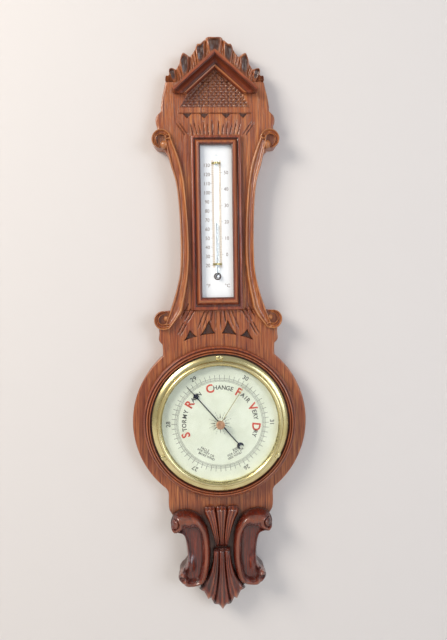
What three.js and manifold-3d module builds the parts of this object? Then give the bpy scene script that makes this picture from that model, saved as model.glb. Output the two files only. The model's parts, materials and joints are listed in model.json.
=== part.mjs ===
// A carved oak banjo barometer: an aneroid with an open dial, and a thermometer in the neck above it.
// Millimetres, +Z up, the front facing -Y. The origin lies on the dial's axis, in the plane of the wall.
// A depth is measured from the wall towards the front, so a point at depth d has y = -d.
import * as THREE from 'three';
import { mergeVertices } from 'three/addons/utils/BufferGeometryUtils.js';
import Module from 'manifold-3d';

const wasm = await Module();
wasm.setup();

// Dial opening, and what surrounds it from the glass outwards
const sightRadius = 87;
const sightLip = 2.8;
const bezelFlange = 12.2;
const bezelMargin = 1.6;
const ringWidth = 11.4;
const roundMargin = 16.2;
const caseRadius = sightRadius + sightLip;
const bezelRadius = caseRadius + bezelFlange;
const ringInnerRadius = bezelRadius + bezelMargin;
const ringOuterRadius = ringInnerRadius + ringWidth;
const roundRadius = ringOuterRadius + roundMargin;

// Case board
const boardDepth = 24;
const apronRise = 36.8;
const apronHalfWidth = 84.4;
const frameHeight = 258.5;
const headHeight = 147.5;
const headHalfWidth = 80;
const footHalfWidth = 79.7;
const tailLength = 155.3;
const baseReach = 76.6;
const edgeSetback = 1;

// Thermometer
const frameHalfWidth = 37;
const frameSideWidth = 13.8;
const frameTopWidth = 13.7;
const frameFootWidth = 19.5;
const frameRelief = 9;
const pocketDepth = 4;
const thermometerPlateThickness = 3;
const plateOverlap = 1.6;
const tubeRadius = 2.4;
const tubeTopDrop = 28.8;
const bulbRadius = 4.1;
const bulbRise = 50.7;
const bulbHoleRadius = 5.6;
const clipWidth = 3;
const clipThickness = 0.6;
const clipFootLength = 3.4;
const upperClipDrop = 39.8;
const lowerClipRise = 18.3;

// Neck scrolls
const railMargin = 4.2;
const railWidth = 13.6;
const railHeight = 7;
const voluteRadius = 14.8;
const lowerVoluteDrop = 14;
const upperVoluteDrop = 5;

// Pediment and crest
const rakeRun = 62.6;
const pedimentWidth = 16.5;
const pedimentHeight = 21;
const crestHeight = 27;
const crestBack = 4;
const diaperPitch = 12.6;
const diaperLean = 41;
const grooveDepth = 1.6;
const tympanumHalfWidth = 51;

// Bezel and glass
const ringRelief = 18;
const ledgeRelief = 12;
const bezelHeight = 13.8;
const bezelScrewInset = 4;
const bezelScrewRadius = 1.5;
const bezelBossRadius = 5;
const bezelBossHeight = 5.6;
const bezelScrewLength = 22;
const screwHeadRadius = 3.2;
const screwHeadHeight = 1.5;
const glassThickness = 2;
const caseWall = 1.2;
const caseBack = 5;

// Dial, hands and knob
const dialPlateThickness = 1.2;
const dialFaceThickness = 0.8;
const spacerWall = 1.6;
const spacerHeight = 6;
const dialHoleRadius = 1.6;
const handMargin = 11;
const handTail = 46;
const handWidth = 1.3;
const handThickness = 0.7;
const handAngle = 131;
const handLift = 1.6;
const handHubRadius = 2.6;
const setHandMargin = 21;
const setHandAngle = 57;
const setHandHubRadius = 2.4;
const knobRadius = 6.5;
const knobHeight = 7.5;
const knobSpindleRadius = 1.5;
const knurlCount = 16;
const knurlDepth = 0.4;

// Movement behind the dial
const basePlateRadius = 62;
const basePlateThickness = 2;
const capsuleRadius = 29;
const capsuleHeight = 6;
const capsuleBossRadius = 7;
const capsuleBossHeight = 1;
const corrugations = 2;
const corrugationDepth = 0.8;
const stemRadius = 1.3;
const bridgeSpan = 76;
const bridgeWidth = 18;
const bridgeThickness = 3;
const bridgeFootLength = 6;
const mainspringWidth = 20;
const mainspringLeaf = 1;
const mainspringGap = 2.8;
const mainspringReach = 24;
const knifePinThickness = 0.6;
const knifePinLength = 10;
const leverThickness = 1.2;
const leverWidth = 6;
const leverLength = 43;
const leverOffset = 10;
const arborBarThickness = 1.2;
const arborBarWidth = 10;
const arborPostX = 47;
const arborPostThickness = 6;
const arborRadius = 0.8;
const drumRadius = 1;
const drumLength = 3;
const hairspringTurns = 3;
const hairspringOuterRadius = 8;
const hairspringInnerRadius = 2.2;
const hairspringWire = 0.25;
const hairspringWidth = 0.6;
const rockingShaftRadius = 1.1;
const rockingShaftLength = 30;
const rockingShaftZ = 38;
const rockingShaftDepth = 17;
const shortArmLength = 5;
const armThickness = 1.4;
const armWidth = 2.4;
const bracketThickness = 1.5;
const bracketWidth = 10;
const chainWidth = 1.4;
const chainThickness = 0.6;
const chainLinks = 12;
const dialPillarInset = 8;
const dialPillarRadius = 3;
const adjusterX = 35;
const adjusterRadius = 1.5;
const adjusterHeadRadius = 3.2;
const adjusterHeadHeight = 1.3;
const adjusterReach = 9;
const slotWidth = 0.9;
const slotDepth = 0.6;
// Rear cover and hanging plate
const coverMargin = 10.2;
const coverThickness = 3;
const coverHoleRadius = 5;
const coverScrewInset = 4;
const coverScrewRadius = 1.4;
const coverScrewLength = 12;
const coverHeadRadius = 2.8;
const coverHeadHeight = 1.4;
const hangerRise = 25.5;
const hangerHalfWidth = 14;
const hangerHalfHeight = 30;
const hangerThickness = 1.6;
const hangerPocketDepth = 12;
const hangerPocketHalfWidth = 8;
const hangerPocketHalfHeight = 18;
const keyholeRadius = 5.5;
const keyslotHalfWidth = 2.6;
const keyslotTravel = 11;
const hangerScrewInset = 5.5;
const hangerScrewLength = 13;
const hangerHeadDepth = 1.1;

// Scrolls and leaves of the base
const baseScrollHeight = 20;
const upperLeafHeight = 11.5;
const lowerLeafHeight = 13;

// Clearances and counts of facets
const seatGap = 0.3;
const runningGap = 0.3;
const overrun = 2;
const largeFacets = 36;
const middleFacets = 16;
const smallFacets = 12;
const tinyFacets = 8;

// Places that follow from the sizes above
const neckFoot = roundRadius + apronRise;
const frameTop = neckFoot + frameHeight;
const bulbHeight = neckFoot + bulbRise;
const tubeTop = frameTop - tubeTopDrop;
const upperClipHeight = frameTop - upperClipDrop;
const lowerClipHeight = bulbHeight + lowerClipRise;
const railMiddle = frameHalfWidth + railMargin + railWidth / 2;
const apronFoot = Math.sqrt(roundRadius ** 2 - apronHalfWidth ** 2);
const handLength = sightRadius - handMargin;
const setHandLength = sightRadius - setHandMargin;
const bezelScrewCircle = bezelRadius - bezelScrewInset;
const coverRadius = caseRadius + coverMargin;
const coverScrewCircle = coverRadius - coverScrewInset;
const dialPillarCircle = basePlateRadius - dialPillarInset;
const hangerZ = frameTop + hangerRise;
const boreRadius = caseRadius + caseWall + seatGap;
const ledgeDepth = boardDepth + ledgeRelief;
const caseFloor = caseBack + caseWall;
const basePlateFront = caseFloor + basePlateThickness;
const capsuleBack = basePlateFront + capsuleBossHeight;
const capsuleFront = capsuleBack + capsuleHeight;
const stemFoot = capsuleFront + capsuleBossHeight;
const bridgeBack = stemFoot + capsuleBossHeight + seatGap;
const bridgeFront = bridgeBack + bridgeThickness;
const upperLeafBack = bridgeFront + mainspringLeaf + mainspringGap;
const mainspringFront = upperLeafBack + mainspringLeaf;
const knifePinBack = mainspringFront + runningGap;
const leverBack = knifePinBack + knifePinThickness + runningGap;
const leverFront = leverBack + leverThickness;
const arborBarBack = leverFront + seatGap * 2.5;
const drumBack = arborBarBack + arborBarThickness + seatGap;
const hairspringBack = drumBack + drumLength + seatGap;
const arborBarFront = hairspringBack + hairspringWidth + seatGap;
const dialPlateBack = arborBarFront + arborBarThickness + seatGap * 4;
const dialFaceBack = dialPlateBack + dialPlateThickness;
const dialFront = dialFaceBack + dialFaceThickness;
const glassBack = dialFront + spacerHeight;
const glassFront = glassBack + glassThickness;
const bezelFront = ledgeDepth + bezelHeight;
const handBack = dialFront + handLift;
const handFront = handBack + handThickness;
const armLength = drumBack + drumLength / 2 - rockingShaftDepth;
const plateFront = boardDepth - pocketDepth + thermometerPlateThickness;
const tubeDepth = plateFront + tubeRadius + runningGap;
const chainX = -(drumRadius + chainThickness / 2 + runningGap);

// Heights on the case, from shares of the stretch that they lie in
const headZ = (share) => frameTop + share * headHeight;
const neckZ = (share) => neckFoot + share * frameHeight;
const apronZ = (share) => apronFoot + share * (neckFoot - apronFoot);
const tailZ = (share) => -roundRadius - share * tailLength;
const apexShare = 0.81;
const rakeFootShare = 0.434;
const pedimentCutShare = 0.417;
const tympanumFootShare = 0.29;
const crestFootShare = 0.532;
const lowerVoluteShare = 0.965;
const apexHeight = headZ(apexShare);
const pedimentCutHeight = headZ(pedimentCutShare);
const tympanumFoot = headZ(tympanumFootShare);
const crestFoot = headZ(crestFootShare);
const upperVolute = { x: headHalfWidth, z: frameTop - upperVoluteDrop };
const lowerVolute = { x: apronHalfWidth * lowerVoluteShare, z: neckFoot - lowerVoluteDrop };
const rakeAngle = Math.atan2(apexHeight - headZ(rakeFootShare), rakeRun);

// Finishes
const finish = (color, roughness, metalness) => (
  new THREE.MeshStandardMaterial({ color, roughness, metalness }));
const oak = () => finish('#8a4526', 0.45, 0);
const carvedOak = () => finish('#7a3a20', 0.42, 0);
const lacqueredBrass = () => finish('#cdb36a', 0.3, 1);
const steel = () => finish('#8d9196', 0.4, 1);
const bluedSteel = () => finish('#20242c', 0.35, 1);
const copperedBrass = () => finish('#b07a54', 0.35, 1);
const enamelledDial = () => finish('#dcdcc0', 0.5, 0);
const milkGlass = () => finish('#e6eef2', 0.25, 0);
const mercury = () => finish('#c8ccd0', 0.1, 1);
const clearGlass = () => {
  const material = finish('#ffffff', 0.05, 0);
  material.transparent = true;
  material.opacity = 0.3;
  return material;
};

// Solids. A three.js geometry becomes a manifold solid, and a solid becomes a geometry again.
function solid(geometry) {
  const bare = geometry.clone();
  bare.deleteAttribute('normal');
  bare.deleteAttribute('uv');
  const merged = mergeVertices(bare, 1e-4);
  const corners = merged.index.array;
  const kept = [];
  for (let i = 0; i < corners.length; i += 3) {
    const [a, b, c] = corners.slice(i, i + 3);
    if (a !== b && b !== c && c !== a) kept.push(a, b, c);
  }
  return new wasm.Manifold(new wasm.Mesh({
    numProp: 3,
    vertProperties: new Float32Array(merged.attributes.position.array),
    triVerts: new Uint32Array(kept),
  }));
}

function geometryOf(body) {
  const mesh = body.getMesh();
  const geometry = new THREE.BufferGeometry();
  geometry.setAttribute('position', new THREE.BufferAttribute(new Float32Array(mesh.vertProperties), 3));
  geometry.setIndex(new THREE.BufferAttribute(new Uint32Array(mesh.triVerts), 1));
  return geometry;
}

const join = (first, ...others) => others.reduce((body, other) => body.add(other), first);
const cut = (first, ...others) => others.reduce((body, other) => body.subtract(other), first);

// A shape drawn as seen from the front, x across and z up, made solid between two depths.
function plate(shape, back, front, curveSegments = smallFacets) {
  const depth = front - back;
  const geometry = new THREE.ExtrudeGeometry(shape, { depth, bevelEnabled: false, curveSegments });
  geometry.translate(0, 0, back);
  geometry.rotateX(Math.PI / 2);
  return solid(geometry);
}

function outline(points) {
  return new THREE.Shape(points.map(([x, z]) => new THREE.Vector2(x, z)));
}

// A right-hand edge, from the foot up, closed by its mirror image on the left.
function mirroredOutline(rightPoints) {
  const left = rightPoints.filter(([x]) => x > 0).map(([x, z]) => [-x, z]).reverse();
  return outline([...rightPoints, ...left]);
}

// A profile of [radius, depth] points turned about the dial's axis, or about an axis beside it.
function turned(profile, facets, x = 0, z = 0) {
  const points = profile.map(([radius, depth]) => new THREE.Vector2(radius, -depth));
  if (THREE.ShapeUtils.area(points) < 0) points.reverse();
  const onAxis = points[0].x === 0 && points[points.length - 1].x === 0;
  if (!onAxis) points.push(points[0].clone());
  const geometry = new THREE.LatheGeometry(points, facets);
  geometry.translate(x, 0, z);
  return solid(geometry);
}

function disc(radius, back, front, facets, x = 0, z = 0) {
  return turned([[0, back], [radius, back], [radius, front], [0, front]], facets, x, z);
}

function ring(inner, outer, back, front, facets, x = 0, z = 0) {
  return turned([[inner, back], [outer, back], [outer, front], [inner, front]], facets, x, z);
}

function block(left, right, low, high, back, front) {
  const geometry = new THREE.BoxGeometry(right - left, front - back, high - low);
  geometry.translate((left + right) / 2, -(back + front) / 2, (low + high) / 2);
  return solid(geometry);
}

// A smooth run of rows through a table of rows, each of the same few numbers.
function smoothRows(rows, count) {
  const places = Array.from({ length: count + 1 }, (_, i) => (i / count) * (rows.length - 1));
  return places.map((place) => {
    const k = Math.min(Math.floor(place), rows.length - 2);
    const t = place - k;
    const row = (i) => rows[Math.min(Math.max(i, 0), rows.length - 1)];
    return rows[0].map((_, j) => {
      const [a, b, c, d] = [row(k - 1)[j], row(k)[j], row(k + 1)[j], row(k + 2)[j]];
      return b + 0.5 * t * (c - a + t * (2 * a - 5 * b + 4 * c - d + t * (3 * (b - c) + d - a)));
    });
  });
}

// Carved relief: a grid of points over the front, place giving x and z and rise giving the height over
// the flat back, both for an across share and an along share from 0 to 1.
function relief({ across, along, place, rise, back }) {
  const columns = across.length;
  const rows = along.length;
  const places = along.flatMap((v) => across.map((u) => place(u, v)));
  const positions = along.flatMap((v, i) => across.flatMap((u, j) => {
    const [x, z] = places[i * columns + j];
    return [x, -(back + rise(u, v)), z];
  }));
  const at = (i, j) => i * columns + j;
  const faces = [];
  for (let i = 0; i < rows - 1; i += 1) {
    for (let j = 0; j < columns - 1; j += 1) {
      faces.push(at(i, j), at(i, j + 1), at(i + 1, j + 1), at(i, j), at(i + 1, j + 1), at(i + 1, j));
    }
  }
  // The rim, once round the grid, is carried back to the flat side and closed there.
  const rim = [
    ...across.slice(0, -1).map((_, j) => at(0, j)),
    ...along.slice(0, -1).map((_, i) => at(i, columns - 1)),
    ...across.slice(1).map((_, j) => at(rows - 1, columns - 1 - j)),
    ...along.slice(1).map((_, i) => at(rows - 1 - i, 0)),
  ];
  const behind = rows * columns;
  rim.forEach((corner, k) => {
    const next = (k + 1) % rim.length;
    positions.push(places[corner][0], -back, places[corner][1]);
    faces.push(rim[next], corner, behind + k, rim[next], behind + k, behind + next);
  });
  const contour = rim.map((corner) => new THREE.Vector2(...places[corner]));
  const clockwise = THREE.ShapeUtils.isClockWise(contour);
  for (const triangle of THREE.ShapeUtils.triangulateShape(contour, [])) {
    const [a, b, c] = triangle;
    const turn = (contour[b].x - contour[a].x) * (contour[c].y - contour[a].y)
      - (contour[b].y - contour[a].y) * (contour[c].x - contour[a].x);
    faces.push(...((turn < 0) === clockwise ? [a, c, b] : [a, b, c]).map((corner) => behind + corner));
  }
  // The front is drawn one way round or the other, and turned where it comes out inside out.
  const inwards = clockwise ? faces.map((_, i) => faces[i - (i % 3) + 2 - (i % 3)]) : faces;
  const geometry = new THREE.BufferGeometry();
  geometry.setAttribute('position', new THREE.Float32BufferAttribute(positions, 3));
  geometry.setIndex(inwards);
  return solid(geometry);
}

const evenly = (count) => Array.from({ length: count + 1 }, (_, i) => i / count);

function stepped(table, share) {
  const last = table.length - 2;
  const k = Math.min(table.findIndex((_, i) => i === last || share <= table[i + 1][0]), last);
  const [from, low] = table[k];
  const [to, high] = table[k + 1];
  return low + ((high - low) * (share - from)) / (to - from);
}

// A band that follows a centre line of [x, z, half width] rows, its section given as rises across it.
function band(rows, sectionShares, height, back, endShare = () => 1) {
  const direction = rows.map((_, i) => {
    const before = rows[Math.max(i - 1, 0)];
    const after = rows[Math.min(i + 1, rows.length - 1)];
    const length = Math.hypot(after[0] - before[0], after[1] - before[1]);
    return [(after[0] - before[0]) / length, (after[1] - before[1]) / length];
  });
  const last = rows.length - 1;
  return relief({
    across: sectionShares.map(([u]) => u),
    along: evenly(last),
    place: (u, v) => {
      const i = Math.round(v * last);
      const side = (1 - 2 * u) * rows[i][2];
      return [rows[i][0] - direction[i][1] * side, rows[i][1] + direction[i][0] * side];
    },
    rise: (u, v) => height * stepped(sectionShares, u) * endShare(v),
    back,
  });
}

const group = new THREE.Group();

function addNode(parent, name, body, material) {
  const mesh = new THREE.Mesh(geometryOf(body), material);
  mesh.name = name;
  parent.add(mesh);
}

// The right-hand piece and its mirror image on the left.
function addPair(name, body, material) {
  addNode(group, `${name}_right`, body, material);
  const leftSide = new THREE.Group();
  leftSide.scale.x = -1;
  group.add(leftSide);
  addNode(leftSide, `${name}_left`, body, material);
}
const polar = (radius, degrees) => {
  const angle = THREE.MathUtils.degToRad(degrees);
  return [radius * Math.cos(angle), radius * Math.sin(angle)];
};
const hangerScrewReach = hangerHalfHeight - hangerScrewInset;
const hangerScrewHeights = [hangerZ + hangerScrewReach, hangerZ - hangerScrewReach];
const bezelScrewAngles = { top: 90, left: 210, right: 330 };
const coverScrewAngles = [60, 180, 300];
const dialPillarAngles = [30, 150, 270];
const upperVoluteAngles = { from: 195, to: -75, boardFrom: -115, boardTo: 62 };
const lowerVoluteAngles = { from: 215, to: 460, boardFrom: -55, boardTo: 95 };

// Rail of the right-hand neck scroll, from the top down. A row of the table holds how far the rail leans
// from its middle towards the nearer volute, its width, and its height on the neck.
const railShares = [
  [0.406, 1.147, 0.859], [0.188, 0.97, 0.747], [0.084, 0.912, 0.633], [0.019, 0.956, 0.491], [0, 1, 0.348],
  [0.042, 0.985, 0.232], [0.143, 1.074, 0.146], [0.299, 1.235, 0.06], [0.433, 1.32, 0.002],
];
const railTurnShare = 0.348;
function railRows() {
  return smoothRows(railShares, 12).map(([leanShare, widthShare, heightShare]) => {
    const volute = heightShare > railTurnShare ? upperVolute : lowerVolute;
    const x = railMiddle + leanShare * (volute.x - railMiddle);
    return [x, neckZ(heightShare), (widthShare * railWidth) / 2];
  });
}

// Scroll of the base, right side, from its crown down: height on the tail, inner edge and outer edge.
const baseScrollShares = [
  [0.015, 0.653, 0.783], [0.037, 0.522, 0.907], [0.076, 0.418, 0.973], [0.128, 0.346, 1],
  [0.179, 0.29, 0.96], [0.218, 0.265, 0.862], [0.24, 0.256, 0.764], [0.282, 0.242, 0.725],
  [0.353, 0.229, 0.695], [0.462, 0.227, 0.676], [0.533, 0.239, 0.698], [0.578, 0.255, 0.757],
  [0.61, 0.268, 0.823], [0.647, 0.285, 0.864], [0.688, 0.313, 0.851], [0.721, 0.353, 0.799],
  [0.752, 0.444, 0.744], [0.772, 0.587, 0.685],
];

// Outline of the board, right-hand edge from the foot up. The board backs the carvings that are glued to
// it, and follows them a little inside their edges.
const fanBackShares = [
  [0, 0.985], [0.157, 0.93], [0.274, 0.868], [0.43, 0.79], [0.5, 0.748], [0.614, 0.763],
];
const waistShares = [[1.01, 0.25], [1, 0.6], [0.984, 1]];
const lowerEarShares = [[0.998, 0.089], [1.005, 0.251], [1.064, 0.385], [1.055, 0.5]];
const upperEarShares = [
  [1.078, 0.093], [1.105, 0.166], [1.04, 0.23], [1.003, 0.27], [0.999, 0.312], [0.985, 0.361],
  [0.943, 0.46],
];
const boardFootShare = 0.028;
const waistMeetShare = 1.043;
const boardCornerShare = 0.915;

function rimOfVolute({ x, z }, from, to, steps) {
  return evenly(steps).map((share) => {
    const [acrossX, upZ] = polar(voluteRadius - edgeSetback, from + (to - from) * share);
    return [x + acrossX, z + upZ];
  });
}

function boardOutline() {
  const meetX = footHalfWidth * waistMeetShare;
  const meetZ = -Math.sqrt(roundRadius ** 2 - meetX ** 2);
  const start = Math.atan2(meetZ, meetX);
  const turnsTo = Math.atan2(apronFoot, apronHalfWidth);
  const rounded = evenly(middleFacets).map((share) => {
    const angle = start + (turnsTo - start) * share;
    return [roundRadius * Math.cos(angle), roundRadius * Math.sin(angle)];
  });
  const scrollBack = baseScrollShares.slice(2, -1).reverse();
  const waistDrop = tailZ(boardFootShare) - meetZ;
  return [
    ...fanBackShares.map(([x, z]) => [x * baseReach, tailZ(z)]),
    ...scrollBack.map(([z, , outer]) => [outer * baseReach - edgeSetback, tailZ(z)]),
    ...waistShares.map(([x, z]) => [x * footHalfWidth, meetZ + z * waistDrop]).reverse(),
    ...rounded,
    ...lowerEarShares.map(([x, z]) => [x * apronHalfWidth, apronZ(z)]),
    ...rimOfVolute(lowerVolute, lowerVoluteAngles.boardFrom, lowerVoluteAngles.boardTo, 7),
    ...railRows().reverse().map(([x, z, half]) => [x + half - edgeSetback, z]),
    ...rimOfVolute(upperVolute, upperVoluteAngles.boardFrom, upperVoluteAngles.boardTo, 8),
    ...upperEarShares.map(([x, z]) => [x * headHalfWidth, headZ(z)]),
    [boardCornerShare * headHalfWidth, crestFoot],
    [(apexHeight - crestFoot) / Math.tan(rakeAngle), crestFoot],
    [0, apexHeight],
  ];
}

// Screws: a domed or flat head with a slot, on a plain shank.
function screw({ x, z, headRadius, headBack, headFront, radius, tip }) {
  const forwards = headFront > headBack ? 1 : -1;
  const shoulder = headFront - forwards * Math.abs(headFront - headBack) * 0.45;
  const body = turned([
    [0, tip + forwards * radius], [radius, tip + forwards * radius * 2], [radius, headBack],
    [headRadius, headBack], [headRadius, shoulder], [headRadius * 0.6, headFront], [0, headFront],
  ], tinyFacets, x, z);
  const slotFloor = headFront - forwards * slotDepth;
  const slotFront = headFront + forwards * overrun;
  return cut(body, block(
    x - headRadius - overrun, x + headRadius + overrun, z - slotWidth / 2, z + slotWidth / 2,
    Math.min(slotFloor, slotFront), Math.max(slotFloor, slotFront),
  ));
}

// The diaper of the tympanum: two crossed sets of V-grooves, kept inside the triangle under the rakes.
function diaperGrooves() {
  const innerApex = apexHeight - pedimentWidth / Math.cos(rakeAngle) - seatGap * 2;
  const field = plate(mirroredOutline([
    [0, tympanumFoot], [tympanumHalfWidth, tympanumFoot], [tympanumHalfWidth, tympanumFoot + seatGap],
    [0, innerApex],
  ]), boardDepth - grooveDepth * 1.2, boardDepth + overrun);
  const reach = innerApex - tympanumFoot + tympanumHalfWidth;
  const section = outline([[-diaperPitch * 0.3, 0], [diaperPitch * 0.3, 0], [0, grooveDepth]]);
  const count = Math.floor((tympanumHalfWidth * 1.7) / diaperPitch);
  const grooves = [];
  for (const lean of [-1, 1]) {
    for (let k = -count; k <= count; k += 1) {
      const groove = new THREE.ExtrudeGeometry(section, { depth: reach * 2, bevelEnabled: false });
      groove.translate(0, 0, -reach);
      groove.rotateY(THREE.MathUtils.degToRad(lean * diaperLean));
      groove.translate(k * diaperPitch, -boardDepth, tympanumFoot);
      grooves.push(solid(groove));
    }
  }
  return join(...grooves).intersect(field);
}

// Sunk pockets between the tongues of the apron. Each rises from an arc round the dial to a point, and
// its sides are hollow, so that the tongues beside it swell.
const apronPocketShares = [
  { left: 0.04, right: 0.367, apex: [0.167, 0.788] },
  { left: 0.373, right: 0.667, apex: [0.512, 0.577] },
];
const pocketSideShares = [[0, 0], [0.43, 0.24], [0.8, 0.6], [1, 1]];
const pocketArcShare = 1.012;
function apronPockets() {
  const arcRadius = roundRadius * pocketArcShare;
  const onArc = (share) => {
    const x = share * apronHalfWidth;
    return [x, Math.sqrt(arcRadius ** 2 - x ** 2)];
  };
  return apronPocketShares.flatMap(({ left, right, apex: [apexX, apexZ] }) => {
    const tip = [apexX * apronHalfWidth, apronZ(apexZ)];
    const side = ([x, z]) => pocketSideShares.map(([across, up]) => (
      [x + (tip[0] - x) * across, z + (tip[1] - z) * up]));
    const edge = [...side(onArc(left)), ...side(onArc(right)).slice(0, -1).reverse()];
    return [1, -1].map((mirror) => plate(
      outline(edge.map(([x, z]) => [x * mirror, z])), boardDepth - grooveDepth * 2, boardDepth + overrun,
    ));
  });
}

// A V-groove cut by a gouge along a line from one front point to another.
function gouge([x0, z0], [x1, z1], width) {
  const length = Math.hypot(x1 - x0, z1 - z0);
  const section = outline([[-width / 2, 0], [width / 2, 0], [0, grooveDepth]]);
  const geometry = new THREE.ExtrudeGeometry(section, { depth: length, bevelEnabled: false });
  geometry.rotateY(Math.atan2(x1 - x0, z1 - z0));
  geometry.translate(x0, -boardDepth, z0);
  return solid(geometry);
}

// Veins of the apron, the reeds and spade-shaped drops above the thermometer, and the line over them.
const apronVeinShares = [
  [[0.042, 0.985], [0.046, 0.54]], [[0.102, 0.985], [0.141, 0.7]], [[0.174, 0.985], [0.29, 0.57]],
  [[0.237, 0.985], [0.384, 0.56]], [[0.452, 0.97], [0.678, 0.44]], [[0.515, 1.01], [0.723, 0.47]],
];
const reedShares = [0.12, 0.36, 0.6, 0.84];
const reedTopShare = 0.15;
const dropShares = [0.204, 0.519];
const dropTopShare = 0.218;
const dropTipShare = 0.176;
const lineShare = 0.227;
const lineEndShare = 0.68;
const headVeinShares = [[0.52, 0.02], [0.71, 0.155]];
function gouges() {
  const cuts = [];
  for (const side of [-1, 1]) {
    for (const [from, to] of apronVeinShares) {
      cuts.push(gouge(
        [side * from[0] * apronHalfWidth, apronZ(from[1])], [side * to[0] * apronHalfWidth, apronZ(to[1])],
        grooveDepth * 1.4,
      ));
    }
    for (const share of reedShares) {
      cuts.push(gouge(
        [side * share * frameHalfWidth, frameTop + seatGap * 2],
        [side * share * frameHalfWidth * 1.35, headZ(reedTopShare)], grooveDepth * 1.6,
      ));
    }
    for (const share of dropShares) {
      const x = side * share * headHalfWidth;
      const half = grooveDepth * 2.1;
      const top = headZ(dropTopShare);
      cuts.push(plate(
        outline([[x - half, top], [x + half, top], [x, headZ(dropTipShare)]]),
        boardDepth - grooveDepth, boardDepth + overrun,
      ));
    }
    const [[fromX, fromZ], [toX, toZ]] = headVeinShares;
    cuts.push(gouge(
      [side * fromX * headHalfWidth, headZ(fromZ)], [side * toX * headHalfWidth, headZ(toZ)],
      grooveDepth * 1.4,
    ));
  }
  const lineEnd = lineEndShare * headHalfWidth;
  cuts.push(gouge([-lineEnd, headZ(lineShare)], [lineEnd, headZ(lineShare)], grooveDepth));
  return cuts;
}

function caseBoard() {
  const plateHalfWidth = frameHalfWidth - frameSideWidth + plateOverlap + seatGap;
  let board = plate(mirroredOutline(boardOutline()), 0, boardDepth, middleFacets);
  board = cut(
    board,
    disc(boreRadius, -overrun, boardDepth + overrun, largeFacets),
    disc(coverRadius + seatGap, -overrun, coverThickness, largeFacets),
    block(
      -plateHalfWidth, plateHalfWidth, neckFoot + frameFootWidth - plateOverlap - seatGap,
      frameTop - frameTopWidth + plateOverlap + seatGap, boardDepth - pocketDepth, boardDepth + overrun,
    ),
    block(
      -hangerHalfWidth - seatGap, hangerHalfWidth + seatGap, hangerZ - hangerHalfHeight - seatGap,
      hangerZ + hangerHalfHeight + seatGap, -overrun, hangerThickness,
    ),
    block(
      -hangerPocketHalfWidth, hangerPocketHalfWidth, hangerZ - hangerPocketHalfHeight,
      hangerZ + hangerPocketHalfHeight, -overrun, hangerPocketDepth,
    ),
    diaperGrooves(),
    ...apronPockets(),
    ...gouges(),
  );
  for (const degrees of Object.values(bezelScrewAngles)) {
    board = cut(board, disc(
      bezelScrewRadius + runningGap, boardDepth - overrun * 5, boardDepth + overrun, tinyFacets,
      ...polar(bezelScrewCircle, degrees),
    ));
  }
  for (const degrees of coverScrewAngles) {
    board = cut(board, disc(
      coverScrewRadius + runningGap, -overrun, coverScrewLength + overrun, tinyFacets,
      ...polar(coverScrewCircle, degrees),
    ));
  }
  for (const height of hangerScrewHeights) {
    board = cut(board, disc(
      coverScrewRadius + runningGap, -overrun, hangerScrewLength + overrun, tinyFacets, 0, height,
    ));
  }
  return board;
}

// Neck scroll of the right side: a hollow-moulded rail that curls outwards into a volute at each end.
// Its section runs from the outer edge to the inner one.
const railSectionShares = [
  [0, 0.4], [0.08, 0.85], [0.22, 1], [0.5, 0.6], [0.8, 0.62], [0.91, 0.82], [1, 0.4],
];
const voluteTurnShares = [
  [0.68, 0.34], [0.69, 0.32], [0.72, 0.29], [0.75, 0.25], [0.77, 0.23], [0.8, 0.15],
];
const voluteFloorShare = 0.35;
const upperBallShares = { radius: 0.44, x: -0.27, z: -0.52 };
const lowerBallShares = { radius: 0.3, x: -0.25, z: 0.18 };

function voluteRows({ x, z }, { from, to }) {
  return smoothRows(voluteTurnShares, 7).map(([reachShare, widthShare], i, all) => {
    const [acrossX, upZ] = polar(voluteRadius * reachShare, from + ((to - from) * i) / (all.length - 1));
    return [x + acrossX, z + upZ, voluteRadius * widthShare];
  });
}

// The floor that a volute curls round, with a ball where its band ends.
function voluteEye({ x, z }, shares) {
  const floorFront = boardDepth + railHeight * voluteFloorShare;
  const radius = voluteRadius * shares.radius;
  const ball = new THREE.SphereGeometry(1, tinyFacets, tinyFacets / 2);
  ball.scale(radius, railHeight * 0.75, radius);
  ball.translate(x + shares.x * voluteRadius, -boardDepth - railHeight * 0.2, z + shares.z * voluteRadius);
  const front = block(
    x - voluteRadius, x + voluteRadius, z - voluteRadius, z + voluteRadius,
    boardDepth, boardDepth + railHeight * 2,
  );
  const floor = disc(voluteRadius * 0.8, boardDepth, floorFront, smallFacets, x, z);
  return join(floor, solid(ball).intersect(front));
}

function sideScroll() {
  const upper = voluteRows(upperVolute, upperVoluteAngles);
  const lower = voluteRows(lowerVolute, lowerVoluteAngles);
  const rows = [...upper.slice(1).reverse(), ...railRows(), ...lower.slice(1)];
  return join(
    band(rows, railSectionShares, railHeight, boardDepth),
    voluteEye(upperVolute, upperBallShares),
    voluteEye(lowerVolute, lowerBallShares),
  );
}

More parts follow.
